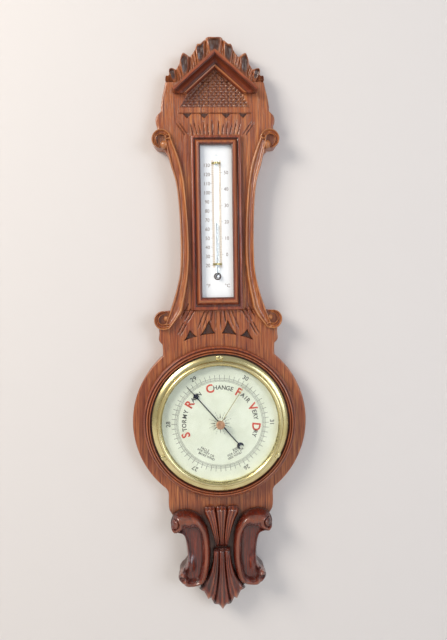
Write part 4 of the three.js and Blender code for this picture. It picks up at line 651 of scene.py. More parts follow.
boardPiece = addPiece("caseBoard", makeBoard(), boardOak, ["case_board"])
cover, hanger, plate = span("rear_cover"), span("hanging_plate"), span("thermometer_plate")
bore = {"radius": 91.3, "play": 0.3, "behind": -5, "above": 40, "pocketHalf": (8, 18), "pocketDepth": 12}
hangerMiddle = (hanger["foot"] + hanger["top"]) / 2
halfWidth, halfHeight = bore["pocketHalf"]
pocket = {"right": halfWidth, "foot": hangerMiddle - halfHeight, "top": hangerMiddle + halfHeight}
for cutter in (
    discShell(bore["radius"], bore["behind"], bore["above"]),
    discShell(cover["right"] + bore["play"], bore["behind"], cover["front"]),
    boxShell(hanger, bore["play"], bore["behind"], hanger["front"]),
    boxShell(pocket, 0, bore["behind"], bore["pocketDepth"]),
    boxShell(plate, bore["play"], plate["back"], bore["above"]),
):
    cutAway(boardPiece, *cutter)
print("board carved:", len(boardPiece.data.polygons), "faces")


# A table of places and shares read as a smooth curve
def curveOf(table):
    fine = smoothRows(table, 40 * len(table))
    return lambda value: np.interp(value, fine[:, 0], fine[:, 1])


# A band along a path in the front plane: each row's centre plus its half width times an across share from 1
# to -1 along the path's normal; the section gives the share of the height across it, and falls off at the
# ends
def bandShell(rows, section, height, endShare, paintedLightOf, columns=29):
    run = np.gradient(rows[:, :2], axis=0)
    run /= np.hypot(run[:, 0], run[:, 1])[:, None]
    across = np.linspace(0, 1, columns)[None]
    offset = (2 * across - 1) * rows[:, 2:3]
    x = rows[:, 0:1] - run[:, 1:2] * offset
    z = rows[:, 1:2] + run[:, 0:1] * offset
    shares = section(across) * endShare[:, None]
    return onBoard(x, z, height * shares, paintedLightOf(across) + 0 * x)


# Neck scrolls: a moulded rail whose ends curl outwards round a ball. Outer bead, deep hollow, inner bead.
scroll = {
    "section": [(0, 0.32), (0.03, 0.62), (0.09, 0.9), (0.17, 1.0), (0.25, 0.92), (0.36, 0.66), (0.5, 0.5),
                (0.64, 0.5), (0.76, 0.62), (0.82, 0.78), (0.88, 0.88), (0.95, 0.78), (1, 0.32)],
    # Painted highlights on both beads, painted shade at both edges and a little in the hollow
    "paintedLightAndWear": [(0, 0.5), (0.04, 0.1), (0.12, -0.6), (0.2, -0.8), (0.27, -0.4), (0.36, -0.1), (0.6, 0),
              (0.76, 0.15), (0.83, 0.1), (0.89, -0.75), (0.94, -0.3), (0.98, 0.2), (1, 0.4)],
    "height": 7.0, "floor": 1.6, "floorRadius": 11.6, "ballFoot": 0.2, "turns": 46, "rail": 190,
    "fade": (14, 10),
}


# Rows of a volute from the rail to its thin end: its reach and half width are curves of the turn
def voluteRows(volute):
    shares = smoothRows(np.column_stack([volutes["reach"], volutes["half"]]), scroll["turns"])
    shares = shares * volutes["radius"]
    angle = np.radians(np.linspace(*volute["turn"], scroll["turns"]))
    x, z = volute["x"] + shares[:, 0] * np.cos(angle), volute["z"] + shares[:, 0] * np.sin(angle)
    return np.column_stack([x, z, shares[:, 1]])


# One band from the upper volute's end, down the rail, to the lower one's end; one curve takes up the rail
# and the first twelve rows of each volute. A ball with the profile of a quarter ellipse stands in each
# volute's dish.
def makeScroll():
    upper, lower = voluteRows(volutes["upper"]), voluteRows(volutes["lower"])
    knots = np.concatenate([upper[2:14:3][::-1], board["rail"][2:], lower[2:14:3]])
    rows = np.concatenate([upper[:11:-1], smoothRows(knots, scroll["rail"]), lower[12:]])
    before, within = scroll["fade"]
    place, count = np.arange(len(rows)), len(rows)
    endShare = ease(place, -before, within) * (1 - ease(place, count - within, count + before))
    section, paintedLightAndWear = curveOf(scroll["section"]), curveOf(scroll["paintedLightAndWear"])
    shells = [bandShell(rows, section, scroll["height"], endShare, paintedLightAndWear)]
    curve = np.linspace(0, np.pi / 2, 12)[:-1]
    wide, floor = scroll["floorRadius"], boardFront + scroll["floor"]
    ballFoot = boardFront + scroll["ballFoot"]
    for volute in (volutes["upper"], volutes["lower"]):
        x, z, radius, rise = volute["ball"]
        ball = [(radius * math.cos(t), ballFoot + rise * math.sin(t)) for t in curve]
        # Each ball takes a painted highlight and each dish painted shade
        shells.append(domeShell([(0, boardFront)] + ball + [(0, ballFoot + rise)], 40, x, z, -0.6))
        dish = [(0, boardFront), (wide, boardFront), (wide, floor + 1), (wide / 2, floor), (0, floor)]
        shells.append(domeShell(dish, 48, volute["x"], volute["z"], 0.5))
    return joinShells(*shells)


addPair("sideScroll", makeScroll(), railOak, railOak, "side_scroll")

# Rake mouldings: a flat fillet, a sharp step, a deep cove and a bead, mitred at the apex and cut level at the
# foot. Across runs down the slope's normal from the outer edge; along runs down the slope.
rake["section"] = [
    (0, 0.95), (0.012, 0.99), (0.03, 1), (0.235, 1), (0.25, 0.985), (0.255, 0.88), (0.3, 0.87),
    (0.33, 0.74), (0.39, 0.58), (0.46, 0.45), (0.54, 0.36), (0.62, 0.3), (0.69, 0.28), (0.725, 0.285),
    (0.735, 0.34), (0.78, 0.41), (0.84, 0.44), (0.9, 0.42), (0.95, 0.35), (0.985, 0.24), (1, 0.14),
]
# Painted highlights on the fillet and the bead, painted shade under the step, in the cove and at the inner
# edge
rake["paintedLightAndWear"] = [(0, -0.2), (0.2, -0.5), (0.25, 0.3), (0.3, 0.8), (0.42, 0.35), (0.6, 0.1), (0.73, 0.7),
                 (0.78, -0.2), (0.85, -0.8), (0.93, -0.3), (1, 0.6)]


# A moulding's places across it, with the share of the height and the painted shade and highlight at each
def mouldingRows(piece):
    across, share = np.transpose(piece["section"])
    return across, share, np.interp(across, *np.transpose(piece["paintedLightAndWear"]))


def makeRake():
    across, share, paintedLightAndWear = mouldingRows(rake)
    sine, cosine = math.sin(rake["angle"]), math.cos(rake["angle"])
    inwards = across * rake["width"]
    start = (inwards * sine + rake["mitreGap"]) / cosine
    finish = np.minimum(
        (rake["run"] + inwards * sine) / cosine, (apex - rake["cut"] - inwards * cosine) / sine)
    distance = start + (finish - start) * np.linspace(0, 1, 50)[:, None]
    x = distance * cosine - inwards * sine
    z = apex - distance * sine - inwards * cosine
    return onBoard(x, z, rake["relief"] * share + 0 * x, paintedLightAndWear)


addPair("pedimentMoulding", makeRake(), *rakeOak, "pediment_moulding", 24)

# Crest: acanthus leaves that spring from the rakes. Each row of the outline holds a leaf's tip or the cleft
# beside it, across and up, and where it starts on the rake. Cupped leaves, named by the rows that they lie
# between, stand forward of the plain ones by the root of one less the square of the place across them, less
# a cup that falls as its power of 1.5, and every leaf rolls over at the tip. Plain leaves are reeded.
crest = {
    "back": 4.0, "rise": 22.8, "foot": 505.2, "bulge": 3.2, "reeds": 3.0,
    "columns": 40, "rows": 40, "blur": 37,
    "outline": [(0, 569.6, 0), (12, 573.4, 9.6), (18.5, 560.6, 16), (24.5, 562.3, 24.8), (36, 545.2, 34.4),
                (45.5, 548.9, 44), (57, 526.6, 52.8), (65.4, 524.2, 59.2), (69, 516.6, 64), (73, 516, 68.8),
                (73.2, 507.6, 72)],
    "cupped": [(-1.15, 1.15), (1.2, 3.35), (4.1, 5.55), (6.1, 7.6)],
}


def makeCrest():
    knots = np.array(crest["outline"])
    last = len(knots) - 1
    t = np.linspace(-last, last, 2 * last * crest["columns"] + 1)
    window = np.hanning(crest["blur"])
    columns = []
    for k, sign in enumerate((np.sign(t), 1, np.sign(t))):
        column = np.interp(np.abs(t), np.arange(last + 1), knots[:, k]) * sign
        padded = np.pad(column, crest["blur"] // 2, "edge")
        columns.append(np.convolve(padded, window / window.sum(), "valid"))
    tipX, tipZ, rootX = columns
    rootZ = np.maximum(apex - np.abs(rootX) * math.tan(rake["angle"]), crest["foot"]) + 0.2
    v = np.linspace(0, 1, crest["rows"])[:, None] ** 0.9
    roll = 1 - 0.4 * ease(v, 0.86, 1.0) ** 1.5
    cup = ease(v, 0.12, 0.5) * (1 - ease(v, 0.74, 0.92))
    reed = np.cos(2 * np.pi * crest["reeds"] * (np.abs(t) + 0.12 * np.sin(5 * v)))
    plain = 0.66 + 0.05 * v + 0.16 * ease(np.abs(t), 7.4, 8.8)
    share = (plain + 0.035 * reed) * roll
    # Plain leaves are striped darker along half of each reed, and their rolled tips lighter as a painted
    # highlight
    paintedLightAndWear = -0.15 + 0.5 * np.clip(reed, 0, 1) - 0.3 * ease(v, 0.8, 0.95) + 0 * t
    bulge = 0 * t
    for low, high in crest["cupped"]:
        across = (2 * np.abs(t) - low - high) / (high - low)
        w = across / (0.3 + 0.7 * np.sqrt(v))
        inside = np.abs(w) < 1
        dome = np.clip(1 - w ** 2, 0, 1)
        cupped = (plain + 0.3 * np.sqrt(dome) * ease(v, 0, 0.6)) * roll - 0.17 * cup * dome ** 1.5
        share = np.where(inside, cupped, share)
        # In a cup: painted shade in the hollow, painted highlight on its rims and its rolled tip
        rims = bell(np.abs(w), 0.86, 0.1)
        hollow = 1.5 * cup * dome - 0.6 * rims - 0.4 * ease(v, 0.84, 0.94) * dome
        paintedLightAndWear = np.where(inside, hollow, paintedLightAndWear)
        bulge = np.where(np.abs(across) < 1, crest["bulge"] * (1 - across ** 2), bulge)
    slope = rake["angle"]
    x = rootX + (tipX + np.sign(t) * bulge * math.sin(slope) * (np.abs(t) > 1) - rootX) * v
    z = rootZ + np.maximum(tipZ + bulge * math.cos(slope) - rootZ, 0.1) * v
    return reliefShell(x, z, crest["back"] + crest["rise"] * share, crest["back"], paintedLightAndWear)


addPiece("crestCarving", makeCrest(), railOak, ["crest_carving"], sharpAngle=50)
print("head carved")

# Thermometer frame: one moulding round four mitred corners, from its outer edge to its sight edge
thermometer = {
    "sight": (23.2, 187.5, 412.8), "relief": 9.0,
    "section": [(0, 0.02), (0, 0.46), (0.02, 0.55), (0.06, 0.66), (0.14, 0.72), (0.25, 0.72), (0.29, 0.68),
                (0.31, 0.48), (0.36, 0.44), (0.43, 0.48), (0.48, 0.6), (0.54, 0.8), (0.61, 0.94),
                (0.69, 1.0), (0.77, 0.97), (0.86, 0.86), (0.9, 0.78), (0.91, 0.68), (0.98, 0.62),
                (1.0, 0.54), (1.0, -0.06)],
    # Painted shade at both edges and in the step, painted highlights on the outer round and the ogee's crown
    "paintedLightAndWear": [(0, 0.8), (0.02, 0.3), (0.08, -0.3), (0.16, 0), (0.26, 0.2), (0.3, 0.9), (0.4, 0.7),
              (0.5, 0.1), (0.6, -0.4), (0.7, -0.55), (0.8, 0), (0.92, 0.6), (1, 0.8)],
}


def makeFrame():
    across, share, paintedLightAndWear = mouldingRows(thermometer)
    outerX = span("thermometer_frame_right")["right"]
    sightX, sightLow, sightHigh = thermometer["sight"]
    outer, sight = (
        np.array([(-x, low), (x, low), (x, high), (-x, high)])
        for x, low, high in ((outerX, neckFoot, frameTop), (sightX, sightLow, sightHigh)))
    place = outer[:, None] + (sight - outer)[:, None] * across[None, :, None]
    depth = np.broadcast_to(boardFront + thermometer["relief"] * share, place.shape[:2])
    points = np.stack([place[..., 0], depth, place[..., 1]], -1).reshape(-1, 3)
    return points, [gridFaces(4, len(across), True, True)], np.tile(paintedLightAndWear, 4)


frameSides = [f"thermometer_frame_{side}" for side in ("top", "bottom", "left", "right")]
addPiece("thermometerFrame", makeFrame(), mouldedOak, frameSides, sharpAngle=30)

# Ring round the dial, turned from one piece: an outer step, a round bead and an inner bead
ring = {
    "outer": span("dial_surround_ring")["right"], "inner": 103.6, "relief": 18.0, "ledge": 36.0, "steps": 240,
    "section": [(0, 0), (0, 0.3), (0.02, 0.4), (0.07, 0.5), (0.14, 0.57), (0.24, 0.61), (0.33, 0.61),
                (0.37, 0.58), (0.385, 0.66), (0.41, 0.76), (0.46, 0.88), (0.53, 0.95), (0.6, 0.965),
                (0.67, 0.93), (0.72, 0.86), (0.745, 0.83), (0.76, 0.88), (0.8, 0.96), (0.86, 1.0),
                (0.93, 0.985), (0.98, 0.93), (1, 0.86)],
    # Painted shade at both edges and in the two quirks, painted highlights on the step and both beads
    "paintedLightAndWear": [(0, 0.6), (0.03, 0), (0.12, -0.25), (0.24, 0), (0.34, 0.7), (0.38, 0.8), (0.45, 0),
              (0.56, -0.6), (0.66, -0.1), (0.74, 0.9), (0.79, 0), (0.87, -0.6), (0.95, 0.1), (1, 0.6)],
}


def makeRing():
    across, share, paintedLightAndWear = mouldingRows(ring)
    radius = ring["outer"] - across * (ring["outer"] - ring["inner"])
    profile = np.concatenate([
        [(bore["radius"], boardFront)], np.column_stack([radius, boardFront + share * ring["relief"]]),
        [(ring["inner"], ring["ledge"]), (bore["radius"], ring["ledge"])],
    ])
    # The ledge's faces inside the ring take full painted shade
    paintedLightAndWear = np.concatenate([[0], paintedLightAndWear, [1, 1]])
    return *turnedShell(profile, ring["steps"])[:2], np.tile(paintedLightAndWear, ring["steps"])


addPiece("dialSurroundRing", makeRing(), mouldedOak, ["dial_surround_ring"], sharpAngle=30)


# Base scroll: rows from the crown down. The height follows the nearest distance to two edges: a fat rounded
# rim along the inner edge, over the crown and round the foot, and a thin rim along the hollow side. A
# button on the crown and a curl in the foot are rings about their own middles, and the belly is a low
# bell-shaped swelling.
def makeBaseScroll():
    rows = np.concatenate([baseRows[:1] + (0.3, 0, 0), baseRows])
    u = np.linspace(0, 1, 61)[None]
    x = rows[:, 1:2] + (rows[:, 2:3] - rows[:, 1:2]) * u
    z = rows[:, 0:1] + 0 * u
    inner, outer = rows[:, [1, 0]], rows[:, [2, 0]]
    height, (thinFoot, thinTop) = outer[:, 1], base["thin"]
    fatEdge = np.concatenate([outer[height < base["fatFoot"]], inner[::-1], outer[height > base["fatCrown"]]])
    thinEdge = outer[(height < thinTop) & (height > thinFoot)]
    crownShare = ease(z, *base["crownZ"]) * ease(x, *base["crownX"])
    fatDistance = distanceTo(x, z, fatEdge[::2]) * (1 - 0.5 * crownShare)
    thinShare = curveOf(base["thinRim"])(distanceTo(x, z, thinEdge[::2]))
    share = np.maximum(curveOf(base["fatRim"])(fatDistance), thinShare)
    share = share * np.interp(z, *np.transpose(base["lengthwise"]))
    buttonX, buttonZ, buttonRadius = base["button"]
    fromButton = np.hypot(x - buttonX, z - buttonZ) - buttonRadius
    crease = bell(fromButton, 0, base["creaseHalf"]) * (x < buttonX)
    share = share - 0.16 * crease - 0.06 * (fromButton < 0)
    curlX, curlZ, curlRadius = base["curl"]
    fromCurl = np.hypot(x - curlX, z - curlZ)
    dimple = 1 - ease(fromCurl, curlRadius * 0.35, curlRadius)
    share = share - 0.3 * dimple + 0.08 * bell(fromCurl, curlRadius * 1.35, 1.4)
    bellyX, bellyZ, bellyHalf, bellyLength = base["belly"]
    share = share + 0.34 * bell(x, bellyX, bellyHalf) * bell(z, bellyZ, bellyLength)
    reeds = bell(fatDistance, *base["reedBand"]) * ease(-z, *base["reedZ"]) * (x < base["reedX"])
    reeds = reeds * np.cos(2 * np.pi * fatDistance / base["reedPitch"])
    share = share + 0.03 * reeds
    # Painted shade along the quirk, at the fat rim's edge, in the crease and the curl's dimple; painted
    # highlight on the bead and reeds
    paintedLightAndWear = 0.5 * bell(fatDistance, *base["quirkBand"]) - 0.45 * bell(fatDistance, *base["beadBand"])
    paintedLightAndWear = paintedLightAndWear + 0.9 * np.exp(-fatDistance / base["creaseHalf"]) + 0.9 * crease + 0.7 * dimple
    paintedLightAndWear = paintedLightAndWear - 0.25 * reeds
    return onBoard(x, z, base["height"] * np.clip(share, 0.15, 1.05), paintedLightAndWear)


addPair("baseScroll", makeBaseScroll(), carvedOak, carvedOak, "base_scroll")

# Tulip: three round lobes, each reeded, that narrow to one stem. Across a lobe the height falls as the root
# of one less the fourth power of the place across it, and the lobe's top edge drops the same way.
tulip = {
    "top": -129.0, "foot": -191.0, "height": 11.5, "notch": 6.5, "reeds": 3,
    "width": [(0, 26.4), (0.1, 25.3), (0.3, 20), (0.55, 15.3), (0.925, 9.8), (1, 8.8)],
}


def makeTulip():
    u = np.linspace(-1, 1, 145)[None]
    v = np.linspace(0, 1, 72)[:, None] ** 1.35
    width = curveOf(tulip["width"])(v)
    lobe = 3 * u - 2 * np.sign(u) * (np.abs(u) > 1 / 3)
    lobe = np.clip(lobe * (1 + 0 * v), -1, 1)
    rounded = np.sqrt(np.clip(1 - lobe ** 4, 0, 1))
    z = tulip["top"] - tulip["notch"] * (1 - rounded) * (1 - v) ** 1.5 + (tulip["foot"] - tulip["top"]) * v
    reed = np.cos(np.pi * tulip["reeds"] * lobe)
    edge = ease(v, -0.01, 0.09)
    crown = (0.45 + 0.55 * rounded ** 0.7) * (0.55 + 0.45 * edge)
    share = (crown * (1 - 0.42 * v ** 1.5) + 0.05 * reed * edge * rounded) * (1 - 0.5 * ease(v, 0.93, 1.0))
    # Painted shade between the lobes, along their top edge and down the stem; painted highlight on the lobes
    # and their reeds
    paintedLightAndWear = 1.0 - 1.25 * rounded ** 0.6 + 0.3 * (1 - edge) - 0.42 * reed * rounded + 0.55 * ease(v, 0.7, 1.0)
    return onBoard(u * width, z, tulip["height"] * share, paintedLightAndWear)


addPiece("baseLeafUpper", makeTulip(), carvedOak, ["base_leaf_upper"])

# Fan: seven ribs, each of three reeds, that leave a narrow neck together and spread to seven tips. The
# height is a swell along the leaf times the ribs, the absolute cosine of the place across it.
fan = {
    "top": -194.0, "neck": 12.9, "height": 13.0, "spread": 2.2,
    "tips": [(0, 0, -286.5), (1 / 6, 6.5, -279.2), (1 / 3, 12.6, -279.8), (1 / 2, 17.2, -269.5),
             (2 / 3, 22, -270.2), (5 / 6, 28, -258.6), (1, 35, -255.6)],
}


def makeFan():
    u = np.linspace(-1, 1, 217)[None]
    v = np.linspace(0, 1, 84)[:, None]
    side, tipX, tipZ = np.transpose(fan["tips"])
    rib = np.abs(np.cos(1.5 * np.pi * u))
    reachX = np.sign(u) * np.interp(np.abs(u), side, tipX)
    reachZ = np.interp(np.abs(u), side, tipZ)
    x = fan["neck"] * u + (reachX - fan["neck"] * u) * v ** fan["spread"]
    z = fan["top"] + (reachZ - fan["top"]) * v
    reed = np.cos(9 * np.pi * u)
    swell = 0.55 + 0.42 * np.sin(np.pi * np.clip(0.16 + 0.86 * v, 0, 1))
    swell = swell + 0.2 * ease(v, 0.82, 0.95) - 0.22 * ease(v, 0.95, 1.0)
    collar = ease(v, -0.01, 0.05)
    share = swell * (0.7 + 0.3 * rib ** 0.6) * (0.5 + 0.5 * collar) + 0.045 * reed * ease(v, 0.03, 0.2)
    # Painted shade between the ribs and at the neck; painted highlight on the reeds and the ribs' tips
    paintedLightAndWear = 0.8 * (1 - rib ** 0.5) - 0.4 * reed + 0.5 * (1 - ease(v, 0, 0.06))
    paintedLightAndWear = paintedLightAndWear - 0.5 * ease(v, 0.86, 0.95) * rib
    return onBoard(x, z, fan["height"] * share, paintedLightAndWear)


addPiece("baseLeafLower", makeFan(), carvedOak, ["base_leaf_lower"])
print("base carved")

# Bezel: a broad gently sloping flange, a dark step and a bead round the glass; a flat pad under each screw.
# Heights are shares of the whole from the ledge.
bezel = {
    "outer": span("bezel")["right"], "height": span("bezel")["front"] - ring["ledge"], "bore": 90.1,
    "sight": 87.0, "glassFront": 46.8, "neck": 94.2, "lip": 0.9, "bead": (90.5, 0.8, 2.7),
    "slopeSteps": 20, "steps": 720, "screwCircle": 98.0, "padRadius": 5.0, "padHeight": 5.6,
    "screws": {"top": (90, 0.5), "left": (210, 1.9), "right": (330, 1.1)},
}


def bezelProfile():
    outer, neck, bore = bezel["outer"], bezel["neck"], bezel["bore"]
    beadRadius, beadRise, beadHalf = bezel["bead"]
    t, angle = np.linspace(0, 1, bezel["slopeSteps"]), np.linspace(0.1, np.pi * 0.96, 16)
    start = outer - bezel["lip"]
    shares = np.concatenate([
        [(bore, 0), (outer, 0), (outer, 0.2), (outer - 0.25, 0.29)],
        np.column_stack([start - (start - neck) * t, 0.33 + 0.2 * t + 0.04 * np.sin(np.pi * t)]),
        [(neck - 0.2, 0.44), (neck - 0.9, 0.44)],
        np.column_stack([beadRadius + beadHalf * np.cos(angle),
                         beadRise + beadHalf / bezel["height"] * np.sin(angle)]),
        [(bezel["sight"], 0.74)],
    ])
    profile = shares * (1, bezel["height"]) + (0, ring["ledge"])
    return np.concatenate([profile, [(bezel["sight"], bezel["glassFront"]), (bore, bezel["glassFront"])]])


# A bezel screw's place on the circle of screws
def screwPlace(side):
    return onDial(bezel["screwCircle"], bezel["screws"][side][0])


# The profile turned round the glass; near a screw the slope moves to the height of its pad
def makeBezel():
    profile = bezelProfile()
    points, faces, paintedLightAndWear = turnedShell(profile, bezel["steps"])
    place = np.tile(np.arange(len(profile)), bezel["steps"])
    onSlope = (place >= 3) & (place < 4 + bezel["slopeSteps"])
    for side in bezel["screws"]:
        screwX, screwZ = screwPlace(side)
        distance = np.hypot(points[:, 0] - screwX, points[:, 2] - screwZ)
        near = 1 - ease(distance, bezel["padRadius"] - 0.35, bezel["padRadius"] + 0.15)
        points[:, 1] += near * onSlope * (ring["ledge"] + bezel["padHeight"] - points[:, 1])
    return points, faces, paintedLightAndWear


# A place on the dial at a radius and an angle from the right, anticlockwise
def onDial(radius, degrees):
    return radius * math.cos(math.radians(degrees)), radius * math.sin(math.radians(degrees))


brass = metals["lacqueredBrass"]
addPiece("bezel", makeBezel(), brass, ["bezel"], sharpAngle=30)

# Screw heads: a low dome turned about the screw, with the slot pressed in as a straight trough. The dome's
# height is the root of one less the square of the share of its radius.
screwHead = {
    "radius": 3.2, "rise": 1.5, "flat": 0.45, "slot": 0.45, "slotDepth": 0.7, "sink": 0.1, "steps": 96,
}


def makeScrewHead(x, z, turn):
    steps, back = screwHead["steps"], ring["ledge"] + bezel["padHeight"]
    share = np.concatenate([np.linspace(0.02, 0.9, 22), [0.95, 0.985, 1.0]])
    angle = np.arange(steps)[:, None] * 2 * np.pi / steps
    localX, localZ = screwHead["radius"] * share * np.cos(angle), screwHead["radius"] * share * np.sin(angle)
    dome = screwHead["flat"] + (1 - screwHead["flat"]) * np.sqrt(np.clip(1 - share ** 2, 0, 1))
    across = np.abs(-localX * math.sin(turn) + localZ * math.cos(turn))
    rise = screwHead["rise"] * dome - screwHead["slotDepth"] * (across < screwHead["slot"])
    top = np.stack([x + localX, back + rise, z + localZ], -1)
    foot = top[:, -1:] * (1, 0, 1) + (0, back - screwHead["sink"], 0)
    points = np.concatenate([top, foot], 1)
    columns = points.shape[1]
    k = np.arange(steps)[None] * columns
    faces = [gridFaces(steps, columns, True), k, k[:, ::-1] + columns - 1]
    return points.reshape(-1, 3), faces, np.zeros(steps * columns)


for side, (_, turn) in bezel["screws"].items():
    head = makeScrewHead(*screwPlace(side), turn)
    addPiece(f"bezelScrew.{side}", head, brass, [f"bezel_screw_{side}"], sharpAngle=30)

# Knob on the glass: a knurled skirt over a waisted neck; the knurl is a fine cosine round its rim
knob = {
    "back": 47.1, "radius": 6.5, "height": 7.2, "spindle": 1.5, "foot": 44.5, "steps": 272,
    "ridges": 34, "ridgeDepth": 0.045, "rimFrom": 0.9,
    "profile": [(0.6, 0), (0.6, 0.05), (0.48, 0.14), (0.5, 0.24), (0.86, 0.3), (1, 0.36), (1, 0.8),
                (0.93, 0.88), (0.78, 0.93), (0.7, 0.9), (0.5, 0.9), (0.3, 0.97), (0, 1)],
}


def makeKnob():
    turning = np.array(knob["profile"]) * (knob["radius"], knob["height"]) + (0, knob["back"])
    shank = [(0, knob["foot"]), (knob["spindle"], knob["foot"]), (knob["spindle"], knob["back"])]
    points, faces, paintedLightAndWear = domeShell(np.concatenate([shank, turning]), knob["steps"])
    angle = np.arctan2(points[:, 2], points[:, 0])
    onRim = np.hypot(points[:, 0], points[:, 2]) > knob["radius"] * knob["rimFrom"]
    ridge = 1 - knob["ridgeDepth"] * onRim * (0.5 - 0.5 * np.cos(knob["ridges"] * angle))
    return points * np.column_stack([ridge, np.ones(len(ridge)), ridge]), faces, paintedLightAndWear


copper = metals["copperedBrass"]
addPiece("setHandKnob", makeKnob(), copper, ["set_hand_knob"], "set_hand", 30)
print("bezel and knob turned")

# All printing stands out by half its thickness
printing = {"thickness": 0.06, "capShare": 0.73, "curveSteps": 3}


# Letters as thin solids, from the built-in font's outlines. A line's middle is put at x and z and the line
# is turned about it: a point goes to x + across * cosine - up * sine and z + across * sine + up * cosine.
def letterShell(body, capHeight, x, z, degrees, front, squeeze=1.0, weight=0.0):
    curve = bpy.data.curves.new("letters", "FONT")
    curve.body, curve.size, curve.align_x = body, capHeight / printing["capShare"], "CENTER"
    curve.extrude, curve.offset = printing["thickness"] / 2, weight
    curve.resolution_u = printing["curveSteps"]
    letters = addObject("letters", curve)
    bpy.context.view_layer.update()
    mesh = letters.evaluated_get(bpy.context.evaluated_depsgraph_get()).to_mesh()
    mesh.calc_loop_triangles()
    points, corners = np.empty(len(mesh.vertices) * 3), np.empty(len(mesh.loop_triangles) * 3, int)
    mesh.vertices.foreach_get("co", points)
    mesh.loop_triangles.foreach_get("vertices", corners)
    points = points.reshape(-1, 3)
    bpy.data.objects.remove(letters)
    bpy.data.curves.remove(curve)
    cosine, sine = math.cos(math.radians(degrees)), math.sin(math.radians(degrees))
    across, up = points[:, 0] * squeeze, points[:, 1] - capHeight / 2
    x, z = x + across * cosine - up * sine, z + across * sine + up * cosine
    place = np.column_stack([x, front + points[:, 2], z])
    return place, [corners.reshape(-1, 3)], np.zeros(len(place))


# Strokes as thin bars: each from one point to another of the front plane, with a width at both ends
def strokeShells(strokes, front):
    strokes = np.asarray(strokes, float)
    start, finish, half = strokes[:, 0:2], strokes[:, 2:4], strokes[:, 4:6] / 2
    run = (finish - start) / np.linalg.norm(finish - start, axis=1)[:, None]
    normal = run[:, ::-1] * (-1, 1)
    before, after = normal * half[:, :1], normal * half[:, 1:]
    corners = np.stack([start - before, finish - after, finish + after, start + before], 1)
    depths = front + np.array([-1, 1]) * printing["thickness"] / 2
    layers = [np.insert(corners.reshape(-1, 2), 1, depth, axis=1).reshape(-1, 4, 3) for depth in depths]
    points = np.stack(layers, 1).reshape(-1, 3)
    return points, barFaces(len(strokes)), np.zeros(len(points))


# A ring of ink: a thin rectangle at some radius, turned about the dial's axis
def ringStroke(radius, width, front):
    low, high = front - printing["thickness"] / 2, front + printing["thickness"] / 2
    left, right = radius - width / 2, radius + width / 2
    return turnedShell([(left, low), (right, low), (right, high), (left, high)], 180)


# Strokes along the dial's radius at some angles: both ends are a radius times the angle's cosine and sine
def rays(angle, inner, outer, innerWidth, outerWidth):
    direction = np.column_stack([np.cos(angle), np.sin(angle)])
    widths = np.tile([innerWidth, outerWidth], (len(angle), 1))
    return np.hstack([direction * inner, direction * outer, widths])


# What is printed in one ink is one piece
def addPrint(name, shells, ink):
    addPiece(name, joinShells(*shells), glazes[ink])


# Dial: angles in degrees from the right, anticlockwise, one for each letter of a word. A row of the ticks
# holds their number to an inch, outer radius and width; a row of the star its rays, inner and outer radius
# and width.
dial = {
    "front": span("dial_face")["front"] + 0.03, "rings": [(62.8, 0.45), (64.2, 0.45), (67.6, 0.35)],
    "inchDegrees": 60, "tickInner": 64.4, "ticks": [(50, 67.4, 0.3), (10, 72.6, 0.65)],
    "numerals": {31: 0, 30: 60, 29: 120, 28: 180, 27: 240, 26: 300}, "numeral": (77.6, 6.6, 1.0, 0.12),
    "words": {"STORMY": (198, 189, 182.4, 175.4, 167.8, 160.2), "RAIN": (147, 137.8, 131.4, 125),
              "FAIR": (59, 50.4, 44.2, 38.8), "CHANGE": (106, 97.2, 90.4, 83.6, 76.8, 70.6),
              "VERY": (26, 18.6, 13, 7.6), "DRY": (-6.5, -14.4, -20.4)},
    "initial": (54.5, 12.6, 0.95, 0.5), "letter": (54.0, 6.6, 0.95, 0.22),
    "legends": {-1: ["FALLS", "FOR WET OR", "MORE WIND"], 1: ["RISES", "FOR DRY OR", "LESS WIND"]},
    "legendMiddle": (21, -38.5), "legendPitch": 5.2, "legendHeight": 3.3, "legendLean": 26,
    "legendSlant": 1.2, "starTaper": 0.2,
    "star": [(8, 7.5, 14.5, 1.5), (8, 7.5, 11, 1.1), (16, 12.4, 14.4, 0.7), (8, 15.8, 18, 0.7)],
}


# A letter upright on its radius, by a style of radius, height, squeeze and weight
def dialLetter(body, degrees, style):
    radius, height, squeeze, weight = dial[style]
    return letterShell(body, height, *onDial(radius, degrees), degrees - 90, dial["front"], squeeze, weight)


words = dial["words"].items()
initials = [dialLetter(word[0], angles[0], "initial") for word, angles in words]
letters = [dialLetter(*letter, "letter") for word, angles in words for letter in zip(word[1:], angles[1:])]
letters += [dialLetter(str(value), degrees, "numeral") for value, degrees in dial["numerals"].items()]
for side, lines in dial["legends"].items():
    for k, line in enumerate(lines):
        x, z = dial["legendMiddle"]
        x, z = side * (x + (2 - k) * dial["legendSlant"]), z - dial["legendPitch"] * k
        height = dial["legendHeight"] * (1 if k else 1.15)
        letters.append(letterShell(line, height, x, z, side * dial["legendLean"], dial["front"], 1.0, 0.08))
star, ticks = [], []
for k, (count, inner, outer, width) in enumerate(dial["star"]):
    angle = (np.arange(count) + k % 2 / 2) * 2 * np.pi / count
    star.append(rays(angle, inner, outer, width, width * dial["starTaper"]))
for count, outer, width in dial["ticks"]:
    angle = np.radians(np.arange(0, 360, dial["inchDegrees"] / count))
    ticks.append(rays(angle, dial["tickInner"], outer, width, width))
rings = [ringStroke(radius, width, dial["front"]) for radius, width in dial["rings"]]
letters.append(strokeShells(np.concatenate(star), dial["front"]))
rings.append(strokeShells(np.concatenate(ticks), dial["front"]))
addPrint("dialInitials", initials, "redInk")
addPrint("dialLetters", letters, "blackInk")
addPrint("dialScale", rings, "greyInk")

